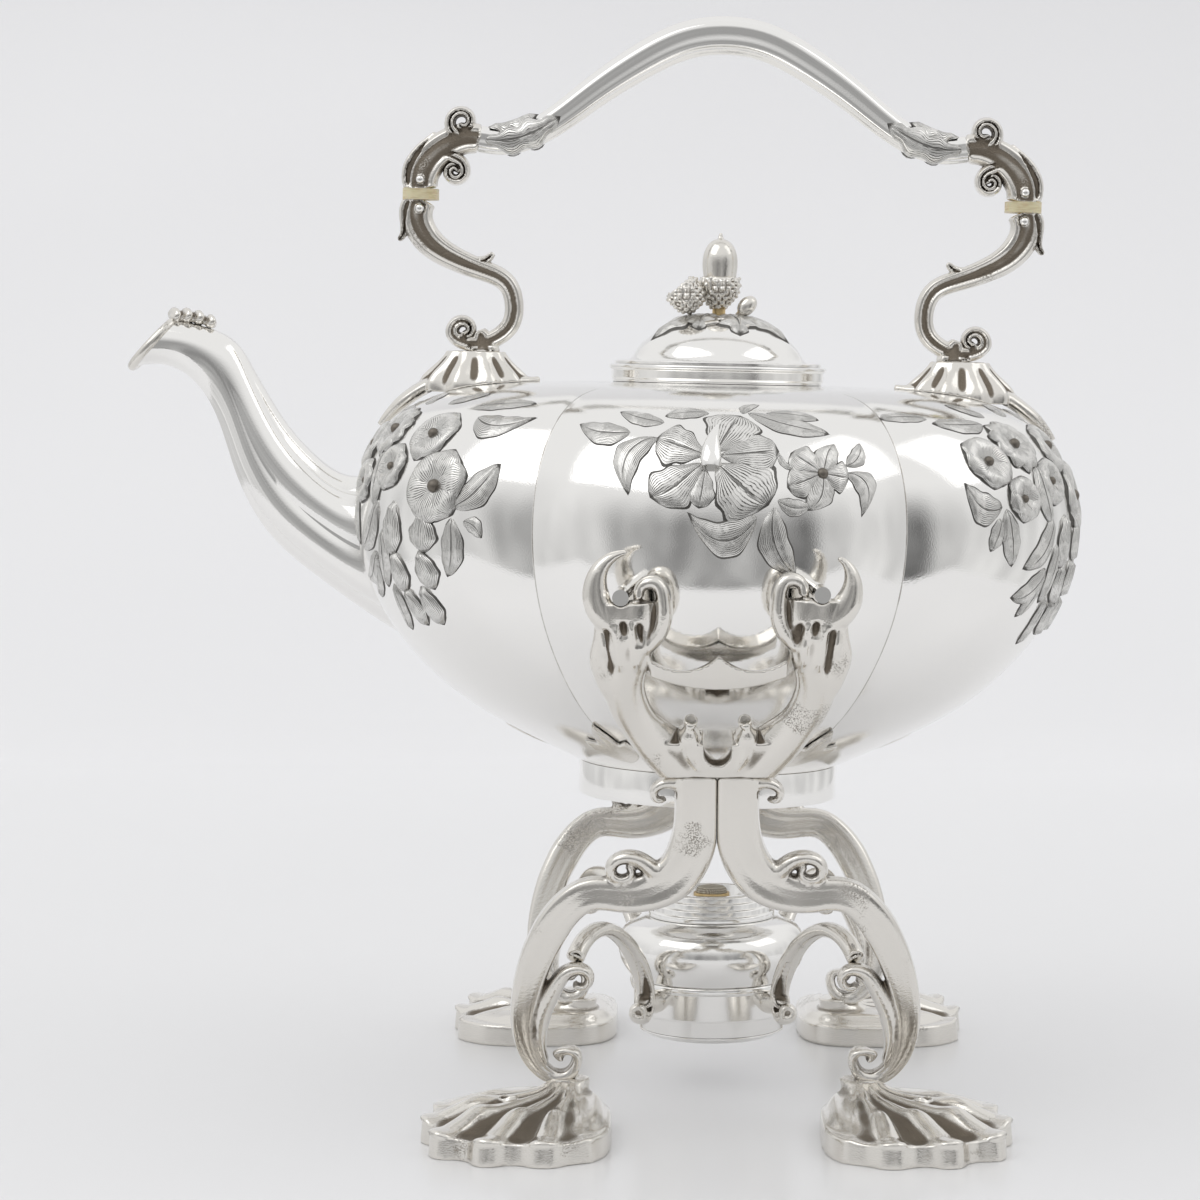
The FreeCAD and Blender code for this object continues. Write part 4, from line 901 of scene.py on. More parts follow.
@dataclass(frozen=True)
class Petal:
    """Petal or leaf that lies on a surface, in the surface's own plan."""

    root: Point2
    tip: Point2
    half_width: float
    bend: float = 0.0
    relief: float = 0.8
    form: Form = Form.LEAF
    ruffle: float = 0.05
    lift: float = 0.0
    hook: float = 0.0

    def add(self, piece: Workpiece, place: Callable[[float, float, float], np.ndarray]) -> None:
        """Model the petal on a surface.

        Args:
            piece: the workpiece that it joins.
            place: gives a point from plan coordinates and height.
        """
        bm = piece.bm
        chart = bm.loops.layers.uv.get("petal") or bm.loops.layers.uv.new("petal")
        rib = bm.verts.layers.float.get("rib") or bm.verts.layers.float.new("rib")
        grid = bmesh.ops.create_grid(bm, x_segments=16, y_segments=22, size=1.0)["verts"]
        root, tip = Vector(self.root), Vector(self.tip)
        run = tip - root
        side = Vector((-run.y, run.x)).normalized()
        spots = {}
        for vert in grid:
            across, along = vert.co.x, (vert.co.y + 1) / 2
            spots[vert] = (across, along)
            line = root + run * along + side * (self.bend * 4 * along * (1 - along) + self.hook * along**5)
            wave = 1 + self.ruffle * math.sin(along * 19.0 + (2.0 if across > 0 else 0.0)) * abs(across)
            flat = line + side * (across * self.half_width * self.form.width(along) * wave)
            vert.co = Vector(place(flat.x, flat.y, self.height(across, along)))
            vert[rib] = 0.0 if self.form is Form.ROUND else 1.0
        for face in {face for vert in grid for face in vert.link_faces}:
            for loop in face.loops:
                across, along = spots[loop.vert]
                loop[chart].uv = ((across + 1) / 2, along)

    def height(self, across: float, along: float) -> float:
        """Height above the surface at a place on the petal."""
        ends = min(1.0, 8 * along) * min(1.0, 7 * (1 - along) + 0.1)
        edge = 0.16 * (1 - abs(across) ** 14) * ends
        body = self.relief * (1 - across**2) * ends
        fold = 1 - 0.4 * math.exp(-((across / 0.12) ** 2)) * (self.form is not Form.ROUND)
        flute = 1 + 0.12 * math.cos(across * 14.0) * (1 - along)
        cup = self.lift * math.sin(math.pi * along**1.4) * (1 - across**6)
        return edge + body * fold * flute + cup - 0.06


@dataclass
class Ornament:
    """Chased flowers on the lobes of the body."""

    belly: Belly
    front: tuple[Petal, ...] = (
        Petal((-4, 47), (-18, 44.5), 3.8, -1.0, 0.4),
        Petal((-18, 41), (-33, 46.5), 4.0, 1.0, 0.4),
        Petal((7.5, 48), (35, 38.5), 4.6, -2.5, 0.5, hook=-1.5),
        Petal((13, 47.5), (31, 44), 3.4, 1.0, 0.4),
        Petal((6, 47), (11.5, 54), 2.4, 1.5, 0.3),
        Petal((-29, 36), (-48, 37.5), 5.4, 1.5, 0.7, hook=-1.5),
        Petal((-20, 34.5), (-30.5, 15), 5.2, -5.0, 0.8, hook=1.5),
        Petal((11, 9), (-10, 6), 6.4, 6.0, 0.9, hook=-4.0),
        Petal((16, 12), (24.5, -8.5), 5.6, -4.0, 0.9, hook=-1.5),
        Petal((17, 14), (28, 12.5), 3.0, -1.5, 0.5),
        Petal((40, 23), (47.5, 10), 4.6, 4.5, 0.7, hook=-2.0),
        Petal((40, 25), (45.5, 33.5), 3.6, -2.0, 0.6),
        Petal((17, 30), (23, 23.5), 1.2, -1.5, 0.3),
        Petal((-2, 29), (5.5, 46), 9.6, 0, 0.5, Form.LILY, 0.08),
        Petal((-5, 28), (-20.5, 34), 8.4, 0, 0.6, Form.LILY, 0.09),
        Petal((-1, 28), (17.5, 30), 7.6, 0, 0.6, Form.LILY, 0.09),
        Petal((-5, 24), (-7, 11), 4.4, 0, 0.7, Form.LILY, 0.08),
        Petal((-5.5, 25.5), (-20.5, 12), 7.8, 0, 0.9, Form.LILY, 0.08, hook=-2.5),
        Petal((-2, 25.5), (13, 11), 11.5, 0, 1.0, Form.LILY, 0.08, hook=2.0),
        Petal((31.5, 22.5), (21, 29.5), 5.4, 0, 0.8, Form.LILY, 0.06),
        Petal((31.5, 22.5), (34, 33.5), 4.8, 0, 0.8, hook=-2.0),
        Petal((31.5, 22.5), (41, 21), 5.4, 0, 0.8, Form.LILY, 0.06),
        Petal((31.5, 22.5), (28, 10.5), 5.0, 1.5, 0.8, hook=-1.5),
        Petal((31.5, 22.5), (20, 18), 5.4, 0, 0.8, Form.LILY, 0.06),
    )
    side: tuple[Petal, ...] = (
        Petal((28, 41), (50, 40), 5.8, -4, 0.7, hook=1.5),
        Petal((20, 46), (42, 50), 4.4, 1, 0.5),
        Petal((4, 48), (14, 58), 4.4, 0, 0.5),
        Petal((36, 8), (48.5, 24), 6.0, -3.5, 0.9, hook=-2.0),
        Petal((36.5, 5), (33.5, -14.5), 5.0, 1.5, 0.9, hook=-1.5),
        Petal((41, 4), (48, -1), 3.0, 1.5, 0.7),
        Petal((24, 6), (24, -7), 7.0, 0, 1.8, Form.ROUND),
        Petal((9, 9), (7, -9), 6.0, 0, 1.8, Form.ROUND),
        Petal((22, -6), (25, -19), 6.0, 0, 2.0, Form.ROUND),
        Petal((19, -18), (21.5, -32), 5.4, 0, 1.9, Form.ROUND),
        Petal((8, -7), (10, -21), 5.4, 0, 2.0, Form.ROUND),
        Petal((10, -19), (13, -33), 4.6, 0, 1.8, Form.ROUND),
        Petal((-29, 12), (-43.5, 17.5), 6.2, 3.5, 0.9, hook=-2.5),
        Petal((-27.5, 11.5), (-24, -7), 4.8, 0, 0.9),
        Petal((-30.5, 8.5), (-35.5, -1.5), 3.4, 1, 0.7, hook=1.0),
        Petal((-2, 9), (-17.5, -8.5), 5.2, 3, 1.2, hook=-1.0),
        Petal((-4, -8), (-19, -19), 5.0, 2, 1.1, hook=-2.0),
        Petal((-5, -10), (-13, -24.5), 3.6, 1, 1.0),
        Petal((-17, 43), (-39, 43), 4.6, 1, 0.6),
        Petal((-38, 46), (-56, 45), 3.4, -1, 0.4),
        Petal((-6, 26), (-4, 6), 5.4, -1, 1.4),
        Petal((-10, 47), (-18, 57), 4.2, 0, 0.5),
        Petal((2, 0), (-2, -20), 4.4, 1, 1.2),
        Petal((3, -18), (0, -36), 3.6, 1, 1.1),
    )
    blooms: tuple[tuple[float, float, float, int, float], ...] = (
        (16.0, 32.5, 10.5, 6, 1.3), (-11.0, 33.5, 11.0, 10, 1.4), (2.0, 20.0, 8.5, 6, 1.6),
        (27.5, 14.5, 13.0, 6, 1.8), (-29.0, 27.0, 9.8, 6, 1.6), (-18.0, 14.5, 8.0, 6, 1.8),
    )

    def bloom(self, piece: Workpiece, lobe: int, bloom: tuple[float, float, float, int, float]) -> None:
        """Trumpet flower with a hollow heart.

        Args:
            piece: the workpiece that it joins.
            lobe: the lobe's number.
            bloom: its place on the lobe, its radius, its count of petals and its height.
        """
        across, up, size, petals, height = bloom
        for number in range(petals):
            angle = 0.3 + math.tau * number / petals
            tip = (across + size * math.cos(angle), up + size * math.sin(angle))
            width = 1.2 * size * math.sin(math.pi / petals)
            Petal((across, up), tip, width, 0.0, 0.3, Form.ROUND, 0.06, height).add(piece, self.on(lobe))

    def on(self, lobe: int) -> Callable[[float, float, float], np.ndarray]:
        """Placing function of a lobe."""
        return lambda across, up, height: self.belly.raised(lobe, across, up, height)

    def build(self) -> None:
        """Make the flowers of every lobe."""
        for lobe in range(self.belly.lobes):
            piece = Workpiece(f"flowers_{lobe}")
            broad = lobe % 3 == 0
            for petal in self.front if broad else self.side:
                petal.add(piece, self.on(lobe))
            for bloom in () if broad else self.blooms:
                self.bloom(piece, lobe, bloom)
            piece.turn(LEAN)
            piece.deliver(Body.KETTLE, CHASED, sharp_deg=60.0)
            self.hearts(lobe, broad)

    def hearts(self, lobe: int, broad: bool) -> None:
        """Make the pistil and the flower hearts of a lobe; the hearts are dark spheres of painted shade in
        the hollows of the flowers.

        Args:
            lobe: the lobe's number.
            broad: whether the lobe carries the lily.
        """
        piece = Workpiece(f"hearts_{lobe}")
        spots = [(31.5, 22.5, 1.8)] if broad else [(b[0], b[1], 0.17 * b[2]) for b in self.blooms]
        for across, up, radius in spots:
            center = Vector(self.belly.raised(lobe, across, up, 0.3))
            bmesh.ops.create_icosphere(
                piece.bm, subdivisions=3, radius=radius, matrix=Matrix.Translation(center)
            )
        piece.turn(LEAN)
        piece.deliver(Body.KETTLE, SHADED)
        if broad:
            self.pistil(lobe)

    def pistil(self, lobe: int) -> None:
        """Make the lily's thick pistil, widest low down, that bends over at its tip."""
        steps, sides = 20, 18
        on = self.on(lobe)
        rings = []
        for step in range(steps + 1):
            share = step / steps
            across, up = -3.6 + 3.0 * share**3, 23.8 + 17.5 * share
            center = on(across, up, 1.0)
            size = 3.3 * math.sin(math.pi * min(1.0, 0.06 + share) ** 0.5) ** 0.7 * (1 - 0.3 * share) + 0.1
            right, out = on(across + 1.0, up, 1.0) - center, on(across, up, 2.0) - center
            angles = np.arange(sides) * math.tau / sides
            oval = np.outer(np.cos(angles), right) + 0.7 * np.outer(np.sin(angles), out)
            rings.append(center + size * oval)
        piece = Workpiece(f"pistil_{lobe}")
        piece.sweep(rings)
        piece.turn(LEAN)
        piece.deliver(Body.KETTLE, POLISHED)


@dataclass
class Spout:
    """Curved spout with a fluted root and a beaked mouth, in millimetres, upright."""

    belly: Belly
    rows: tuple[tuple[float, ...], ...] = (
        (-108.0, 207.0, -98.0, 149.0, 25.0, 0.03), (-120.0, 204.0, -113.0, 157.5, 20.0, 0.06),
        (-131.0, 207.0, -133.0, 171.0, 16.5, 0.07), (-143.5, 218.5, -151.0, 186.0, 13.5, 0.06),
        (-152.0, 231.0, -162.5, 205.0, 11.0, 0.04), (-158.0, 241.5, -169.5, 224.0, 9.0, 0.02),
        (-164.5, 250.5, -177.5, 236.0, 8.2, 0.0), (-174.0, 254.8, -187.5, 241.5, 8.0, 0.0),
        (-184.0, 257.0, -199.0, 240.5, 8.4, 0.0),
    )
    wall: float = 1.2
    lip_half: float = 1.6
    flutes: int = 6
    sides: int = 96
    along: int = 72

    def ring(self, row: np.ndarray, inset: float) -> np.ndarray:
        """Ring of points at a row of the spout, an inset inside its skin."""
        top, bottom = np.array((row[0], 0.0, row[1])), np.array((row[2], 0.0, row[3]))
        upward = top - bottom
        half = np.linalg.norm(upward) / 2
        upward /= 2 * half
        angles = np.arange(self.sides) * math.tau / self.sides
        crisp = row[5] * (2.2 * np.abs(np.cos(self.flutes * angles / 2)) - 1.2)
        swell = 1 + (crisp if inset == 0 else 0.0)
        tall = (half - inset) * swell * np.cos(angles)
        wide = (row[4] - inset) * swell * np.sin(angles)
        return (top + bottom) / 2 + np.outer(tall, upward) + np.outer(wide, (0.0, 1.0, 0.0))

    def rooted(self, ring: np.ndarray, depth: float) -> np.ndarray:
        """Ring whose points go no deeper into the body than a depth."""
        made = ring.copy()
        for point in made:
            azimuth = math.atan2(point[1], point[0])
            skin = self.belly.radius(self.belly.curve.where(1, point[2]), azimuth + math.pi / 2) - depth
            reach = math.hypot(point[0], point[1])
            if reach < skin:
                point[:2] *= skin / reach
        return made

    def build(self) -> None:
        """Make the spout with its bore."""
        curve = Curve(self.rows, keys=4)
        rows = [curve.share(i / (self.along - 1)) for i in range(self.along)]
        outer = [self.rooted(self.ring(row, 0.0), 0.3) for row in rows]
        inner = [self.rooted(self.ring(row, self.wall), 0.9) for row in rows]
        piece = Workpiece("spout_tube")
        piece.sweep(outer + inner[::-1], closed=True)
        piece.turn(LEAN)
        piece.deliver(Body.KETTLE, BORED, ("spout",), sharp_deg=40.0)
        self.lip(outer[-1])

    def lip(self, mouth: np.ndarray) -> None:
        """Make the rolled lip round the mouth.

        Args:
            mouth: the ring of points round the mouth.
        """
        middle = mouth.mean(axis=0)
        ahead = np.cross(mouth[0] - middle, mouth[self.sides // 4] - middle)
        ahead /= np.linalg.norm(ahead)
        angles = np.arange(14) * math.tau / 14
        rings = []
        for point in mouth:
            out = (point - middle) / np.linalg.norm(point - middle)
            bead = np.outer(np.cos(angles), out) + np.outer(np.sin(angles), ahead)
            rings.append(point - 0.5 * out + self.lip_half * bead)
        piece = Workpiece("spout_lip")
        piece.sweep(rings, closed=True)
        piece.turn(LEAN)
        piece.deliver(Body.KETTLE, CAST, slot=Slot.POLISHED)


@dataclass
class Grip:
    """Reeded grip of the handle, in millimetres, upright."""

    end: float = 82.0
    end_height: float = 320.0
    apex: float = 356.4
    half_end: float = 4.3
    half_apex: float = 6.2
    reed: float = 0.06
    squareness: float = 2.2
    sides: int = 72
    along: int = 140

    def run(self) -> Curve:
        """Line of the grip, from its spout end to its tail end."""
        half = [
            (-self.end, self.end_height), (-0.9 * self.end, self.end_height - 0.6),
            (-0.73 * self.end, self.end_height + 4.6), (-0.55 * self.end, self.end_height + 15.5),
            (-0.33 * self.end, self.apex - 8.6), (-0.16 * self.end, self.apex - 1.9),
        ]
        return Curve(half + [(0.0, self.apex)] + [(-x, z) for x, z in reversed(half)])

    def half_size(self, share: float) -> float:
        """Half thickness at a share of the length."""
        return self.half_end + (self.half_apex - self.half_end) * math.sin(math.pi * share) ** 2

    def build(self) -> None:
        """Make the grip and the leaves that wrap its ends."""
        run = self.run()
        rings = []
        for step in range(self.along):
            share = step / (self.along - 1)
            center = run.share(share)
            ahead = run.share(min(share + 0.002, 1.0)) - run.share(max(share - 0.002, 0.0))
            ahead /= np.linalg.norm(ahead)
            size = self.half_size(share)
            angles = np.arange(self.sides) * math.tau / self.sides
            power = 2 / self.squareness
            cos, sin = np.cos(angles), np.sin(angles)
            bulge = size * (1 + self.reed * np.cos(6 * angles))
            inward = bulge * np.sign(cos) * np.abs(cos) ** power
            across = bulge * np.sign(sin) * np.abs(sin) ** power
            normal = np.array((-ahead[1], 0.0, ahead[0]))
            middle = np.array((center[0], 0.0, center[1]))
            rings.append(middle + np.outer(inward, normal) + np.outer(across, (0.0, 1.0, 0.0)))
        piece = Workpiece("grip_bar")
        piece.sweep(rings)
        piece.turn(LEAN)
        piece.deliver(Body.KETTLE, POLISHED, ("handle_grip",))
        for end, name in ((-1.0, "spout"), (1.0, "tail")):
            leaves = Workpiece(f"grip_leaves_{name}")
            for round_deg, reach in ((90.0, 29.0), (-90.0, 29.0), (0.0, 23.0)):
                Petal((2.0, 0.0), (reach, 0.0), 5.6, 0.0, 1.5, Form.OAK, 0.05, 0.9).add(
                    leaves, self.wrapped(run, end, math.radians(round_deg))
                )
            leaves.turn(LEAN)
            leaves.deliver(Body.KETTLE, CHASED, sharp_deg=60.0)

    def wrapped(self, run: Curve, end: float, turn: float) -> Callable[[float, float, float], np.ndarray]:
        """Placing function on the grip's skin.

        Args:
            run: the grip's line.
            end: -1 at the spout end, 1 at the tail end.
            turn: angle round the grip from its upper side.

        Returns:
            A function of the distance from the end, the distance round the skin and the height.
        """
        def place(along: float, around: float, height: float) -> np.ndarray:
            share = along / run.length if end < 0 else 1 - along / run.length
            center, ahead = run.share(share), run.share(share + 0.002) - run.share(share - 0.002)
            ahead /= np.linalg.norm(ahead)
            size = self.half_size(share)
            angle = turn + around / size
            reach = size * (1 + self.reed) + height
            normal = np.array((-ahead[1], 0.0, ahead[0]))
            middle = np.array((center[0], 0.0, center[1]))
            return middle + reach * (math.cos(angle) * normal + math.sin(angle) * np.array((0.0, 1.0, 0.0)))

        return place


@dataclass
class Turnings:
    """Turned pieces of the kettle, the lid and the lamp, in millimetres, upright."""

    neck: float = 32.0
    collar_bottom: float = 239.46
    collar_radius: float = 36.0
    foot_radius: float = 43.8
    foot_bottom: float = 99.8
    foot_top: float = 110.94
    lid_bottom: float = 245.48
    lid_radius: float = 35.2
    dome_radius: float = 29.0
    dome_rise: float = 15.0
    ring_radius: float = 26.6
    ring_low: float = 25.0
    ring_high: float = 36.8
    lamp_radius: float = 32.0
    lamp_widest: float = 48.5
    lamp_shoulder: float = 57.6
    lamp_mouth: float = 15.0
    lamp_bottom: float = 16.5

    def turned(
        self, name: str, outline: Sequence[Point2], body: Body, node: str, rounding: float = 0.25,
        finish: Any = POLISHED,
    ) -> None:
        """Make one turned piece.

        Args:
            name: the piece's name.
            outline: its outline of (radius, height).
            body: the body that it moves with.
            node: the CAD node that it stands for.
            rounding: radius of its edges.
            finish: its finish.
        """
        piece = Workpiece(name)
        piece.spin(outline)
        if rounding:
            piece.round_edges(rounding)
        if body in (Body.KETTLE, Body.LID):
            piece.turn(LEAN)
        piece.deliver(body, finish, (node,))

    def build(self) -> None:
        """Make every turned piece."""
        low, high, side = self.collar_bottom, self.collar_bottom + 5.9, self.collar_radius
        self.turned("collar", [
            (self.neck, low), (side - 0.5, low), (side - 0.5, low + 0.8), (side, low + 1.4),
            (side, high - 1.8), (side + 1.0, high - 1.2), (side + 1.0, high - 0.4), (side + 0.6, high),
            (self.neck, high),
        ], Body.KETTLE, "neck_collar")
        side, inner, top = self.foot_radius, self.foot_radius - 1.4, self.foot_top
        self.turned("foot_band", [
            (inner, self.foot_bottom + 0.5), (inner + 0.4, self.foot_bottom), (side, self.foot_bottom),
            (side, top),
            (inner - 1.6, top), (inner - 1.6, top - 1.0), (inner, top - 1.6),
        ], Body.KETTLE, "foot_ring")
        self.lid()
        self.lamp()

    def lid(self) -> None:
        """Make the lid's dome and bezel."""
        base, flange = self.lid_bottom, self.lid_bottom + 1.3
        dome = smooth_rows([
            (self.dome_radius, flange + 1.2), (self.dome_radius * 0.93, flange + 4.4),
            (self.dome_radius * 0.74, flange + 0.62 * self.dome_rise),
            (self.dome_radius * 0.42, flange + 0.9 * self.dome_rise), (2.25, flange + self.dome_rise),
        ], 28)
        self.lid_leaves(dome)
        under = [(max(2.25, r - 1.08), z - 1.2) for r, z in reversed(dome)]
        self.turned("lid_cap", [
            (self.lid_radius, base), (self.lid_radius, flange - 0.4), (self.lid_radius - 0.5, flange),
            (self.dome_radius + 1.2, flange), *dome, *under, (under[-1][0], base),
        ], Body.LID, "lid_dome", 0.2)
        outer, top = self.neck - 0.45, base - 0.06
        self.turned("lid_rim", [
            (outer - 1.2, top - 4.6), (outer - 0.5, top - 4.6), (outer, top - 4.0), (outer, top),
            (outer - 3.7, top), (outer - 3.7, top - 0.8), (outer - 1.2, top - 0.8),
        ], Body.LID, "lid_bezel")

    def lid_leaves(self, dome: Sequence[Point2]) -> None:
        """Oak leaves that spread from the finial over the dome.

        Args:
            dome: the dome's outline of (radius, height), from its edge to its middle.
        """
        radii, heights = zip(*reversed(dome))

        def place(across: float, deep: float, height: float) -> np.ndarray:
            skin = float(np.interp(math.hypot(across, deep), radii, heights))
            return np.array((across, deep, skin + height))

        piece = Workpiece("lid_oak_leaves")
        for degrees, reach, width, bend in (
            (-72, 22.5, 5.6, 1.5), (-18, 25.0, 5.2, -2.0), (38, 20.0, 5.4, 1.5), (96, 23.0, 5.4, -1.5),
            (152, 21.0, 5.6, 2.0), (204, 25.0, 5.2, 2.0), (250, 20.0, 4.6, -1.5),
        ):
            way = (math.cos(math.radians(degrees)), math.sin(math.radians(degrees)))
            root, tip = (4.0 * way[0], 4.0 * way[1]), (reach * way[0], reach * way[1])
            Petal(root, tip, 1.2 * width, bend, 1.7, Form.OAK, 0.06, 0.5).add(piece, place)
        piece.turn(LEAN)
        piece.deliver(Body.LID, CHASED, sharp_deg=60.0)

    def lamp(self) -> None:
        """Make the lamp, its ring and its wick holder."""
        side, inner = self.ring_radius, self.ring_radius - 1.5
        low, high = self.ring_low, self.ring_high
        self.turned("lamp_ring", [
            (inner, low), (side - 0.4, low), (side, low + 0.4), (side, high - 2.6), (side + 0.9, high - 2.0),
            (side + 0.9, high - 0.5), (side + 0.4, high), (inner, high),
        ], Body.STAND, "burner_ring")
        base, seat, floor = self.ring_radius - 2.0, self.ring_high + 0.12, self.lamp_bottom + 3.0
        outer = smooth_rows([
            (side + 0.7, seat), (self.lamp_radius - 1.0, self.lamp_widest - 6.0),
            (self.lamp_radius, self.lamp_widest),
            (self.lamp_radius - 2.4, self.lamp_widest + 5.4), (22.4, self.lamp_shoulder),
        ], 30)
        inner_wall = smooth_rows([
            (21.5, self.lamp_shoulder - 1.1), (self.lamp_radius - 3.5, self.lamp_widest + 4.6),
            (self.lamp_radius - 1.1, self.lamp_widest), (self.lamp_radius - 3.3, self.lamp_widest - 6.0),
            (base - 1.1, seat + 1.0),
        ], 24)
        self.turned("lamp_bowl", [
            (0.0, floor), (base, floor), (base, seat), *outer, (self.lamp_mouth, self.lamp_shoulder),
            (self.lamp_mouth, self.lamp_shoulder - 1.1), *inner_wall, (base - 1.1, floor + 1.1),
            (0.0, floor + 1.1),
        ], Body.LAMP, "lamp_reservoir", 0.2)
        top = floor - 0.06
        dish = smooth_rows([
            (base, top - 0.6), (base - 2.4, self.lamp_bottom + 1.0), (base - 8.0, self.lamp_bottom),
            (base - 12.0, self.lamp_bottom),
        ], 16)
        self.turned("lamp_dish", [
            (0.0, top), (base, top), *dish, (0.0, self.lamp_bottom),
        ], Body.LAMP, "lamp_base_dish", 0.15)
        self.holder()

    def holder(self) -> None:
        """Make the stepped wick holder, the wick tube and the wick."""
        bore, plug, low = 6.21, self.lamp_mouth - 0.3, self.lamp_shoulder + 0.12
        outline = [(bore, low - 6.0), (plug, low - 6.0), (plug, low)]
        radius, height = 21.5, low
        for _ in range(4):
            outline += [(radius, height), (radius, height + 1.6), (radius - 0.5, height + 2.1)]
            radius, height = radius - 1.35, height + 2.1
        outline += [(plug - 0.6, height), (plug - 0.6, low + 1.0), (bore, low + 1.0)]
        self.turned("wick_collar", outline, Body.WICK, "wick_holder", 0.15)
        self.turned("wick_pipe", [
            (5.25, low - 6.0), (6.15, low - 6.0), (6.15, 65.5), (5.25, 65.5),
        ], Body.WICK, "wick_tube", 0.15, Gilt())
        self.turned("wick_cord", [
            (0.0, 24.5), (5.2, 24.5), (5.2, 66.7), (4.4, 67.5), (0.0, 67.5),
        ], Body.WICK, "wick", 0.3, Cotton())


@dataclass
class Stand:
    """Cast stand: cradles, legs, feet and lamp brackets, in millimetres from the stand's axis."""

    corners: tuple[str, ...] = ("front_spout", "front_tail", "rear_spout", "rear_tail")
    leg_line: tuple[Point2, ...] = (
        (6.0, 123.0), (6.2, 109.0), (7.4, 95.0), (12.6, 84.6), (20.0, 79.6), (30.0, 77.8), (40.6, 77.8),
        (47.6, 73.0), (53.4, 64.6), (58.4, 53.0), (61.2, 41.5), (61.5, 30.8), (59.2, 22.9), (55.4, 18.0),
    )
    leg_half: float = 5.4
    leg_hollow: float = 0.8
    fingers: tuple[tuple[float, float, float, float], ...] = (
        (29.4, 163.0, 168.6, -1.7), (24.3, 160.0, 168.0, -1.7), (34.6, 150.0, 166.0, -1.3),
        (31.8, 152.0, 167.0, 0.9), (26.8, 152.0, 167.6, 0.9),
    )
    ankle: Point2 = (46.0, 69.0)
    foot_middle: Point2 = (62.75, 91.75)
    foot_half: Point2 = (29.75, 35.75)
    foot_heading: float = math.radians(48.0)
    flutes: int = 10
    flute_depth: float = 1.1

    def build(self) -> None:
        """Make the cast pieces of the stand."""
        for side in ("front", "rear"):
            Casting(f"cradle_{side}", 0.48).deliver(Body.STAND, CAST, self.finger_cradle, 60, 0.5, 0.25)
        for corner in self.corners:
            Casting(f"leg_{corner}", 0.48, 5).deliver(Body.STAND, CAST, self.hollow_leg, 60, 0.8)
            Casting(f"foot_{corner}", 0.6).deliver(Body.STAND, CAST, self.flute_foot, 30, 0.6, 0.45)
            Casting(f"bracket_{corner}", 0.4).deliver(Body.STAND, CAST, channel, 60, 0.5, 0.8)

    def finger_cradle(self, points: np.ndarray, normals: np.ndarray) -> np.ndarray:
        """Finger-like leaf lumps below the hooks of a cradle.

        Args:
            points: points of the cradle.
            normals: normals there.

        Returns:
            How far each point moves out.
        """
        across, up = np.abs(points[:, 0]), points[:, 2]
        outer = np.clip((normals[:, 1] * np.sign(points[:, 1]) - 0.3) / 0.3, 0.0, 1.0)
        move = np.zeros(len(points))
        for place, low, high, rise in self.fingers:
            lean = 0.12 * (up - high)
            length = np.clip((up - low) / 3.0, 0.0, 1.0) * np.clip((high - up) / 1.6, 0.0, 1.0)
            move += rise * length * np.exp(-(((across - place - lean) / 1.15) ** 2))
        return move * outer

    def hollow_leg(self, points: np.ndarray, normals: np.ndarray) -> np.ndarray:
        """Depth of the hollow along the broad faces of a leg.

        Args:
            points: points of the leg.
            normals: normals there.

        Returns:
            How far each point moves out.
        """
        run = Curve(self.leg_line)
        line = np.array([run.share(i / 160) for i in range(161)])
        flat = np.column_stack((np.abs(points[:, 0]), points[:, 2]))
        away = np.min(np.linalg.norm(flat[:, None, :] - line[None, :, :], axis=2), axis=1)
        facing = np.clip((np.abs(normals[:, 1]) - 0.55) / 0.3, 0.0, 1.0)
        return -self.leg_hollow * facing * np.clip(1.1 - (away / (0.86 * self.leg_half)) ** 2, 0.0, 1.0)

    def flute_foot(self, points: np.ndarray, normals: np.ndarray) -> np.ndarray:
        """Flutes that run from the rim of a foot up to its ankle, and a ruffled second tier.

        Args:
            points: points of the foot.
            normals: normals there.

        Returns:
            How far each point moves out.
        """
        rim = np.linspace(-math.pi, math.pi, 361) + self.foot_heading
        waves = (np.cos(rim), np.sin(rim))
        edge = [m + h * w - a for m, h, w, a in zip(self.foot_middle, self.foot_half, waves, self.ankle)]
        ways = np.unwrap(np.arctan2(edge[1], edge[0]))
        across, deep = np.abs(points[:, 0]) - self.ankle[0], np.abs(points[:, 1]) - self.ankle[1]
        way = np.arctan2(deep, across)
        way += math.tau * np.round((self.foot_heading - way) / math.tau)
        place = np.interp(way, ways, rim)
        rim_reach = np.hypot(np.interp(way, ways, edge[0]), np.interp(way, ways, edge[1]))
        share = np.hypot(across, deep) / rim_reach
        outward = np.clip(np.cos(place - self.foot_heading), 0.0, 1.0) ** 0.5
        ripple = np.cos(self.flutes * place)
        crest = np.sign(ripple) * np.abs(ripple) ** 0.7
        tier = np.exp(-(((share - 0.66 - 0.05 * np.sin(3 * place)) / 0.09) ** 2))
        top = np.clip((normals[:, 2] - 0.2) / 0.4, 0.0, 1.0) * np.clip((share - 0.12) / 0.2, 0.0, 1.0)
        return self.flute_depth * outward * top * (crest * (0.6 + 0.6 * share) + tier * (0.6 + 0.9 * crest))


def channel(points: np.ndarray, normals: np.ndarray) -> np.ndarray:
    """Channel along the front and back faces of a scroll.

    Args:
        points: points of the scroll.
        normals: normals there.

    Returns:
        How far each point moves out.
    """
    facing = np.clip((np.abs(normals[:, 1]) - 0.76) / 0.12, 0.0, 1.0)
    return np.where(points[:, 2] > 0.0, 0.5 - 1.5 * facing, 0.0)


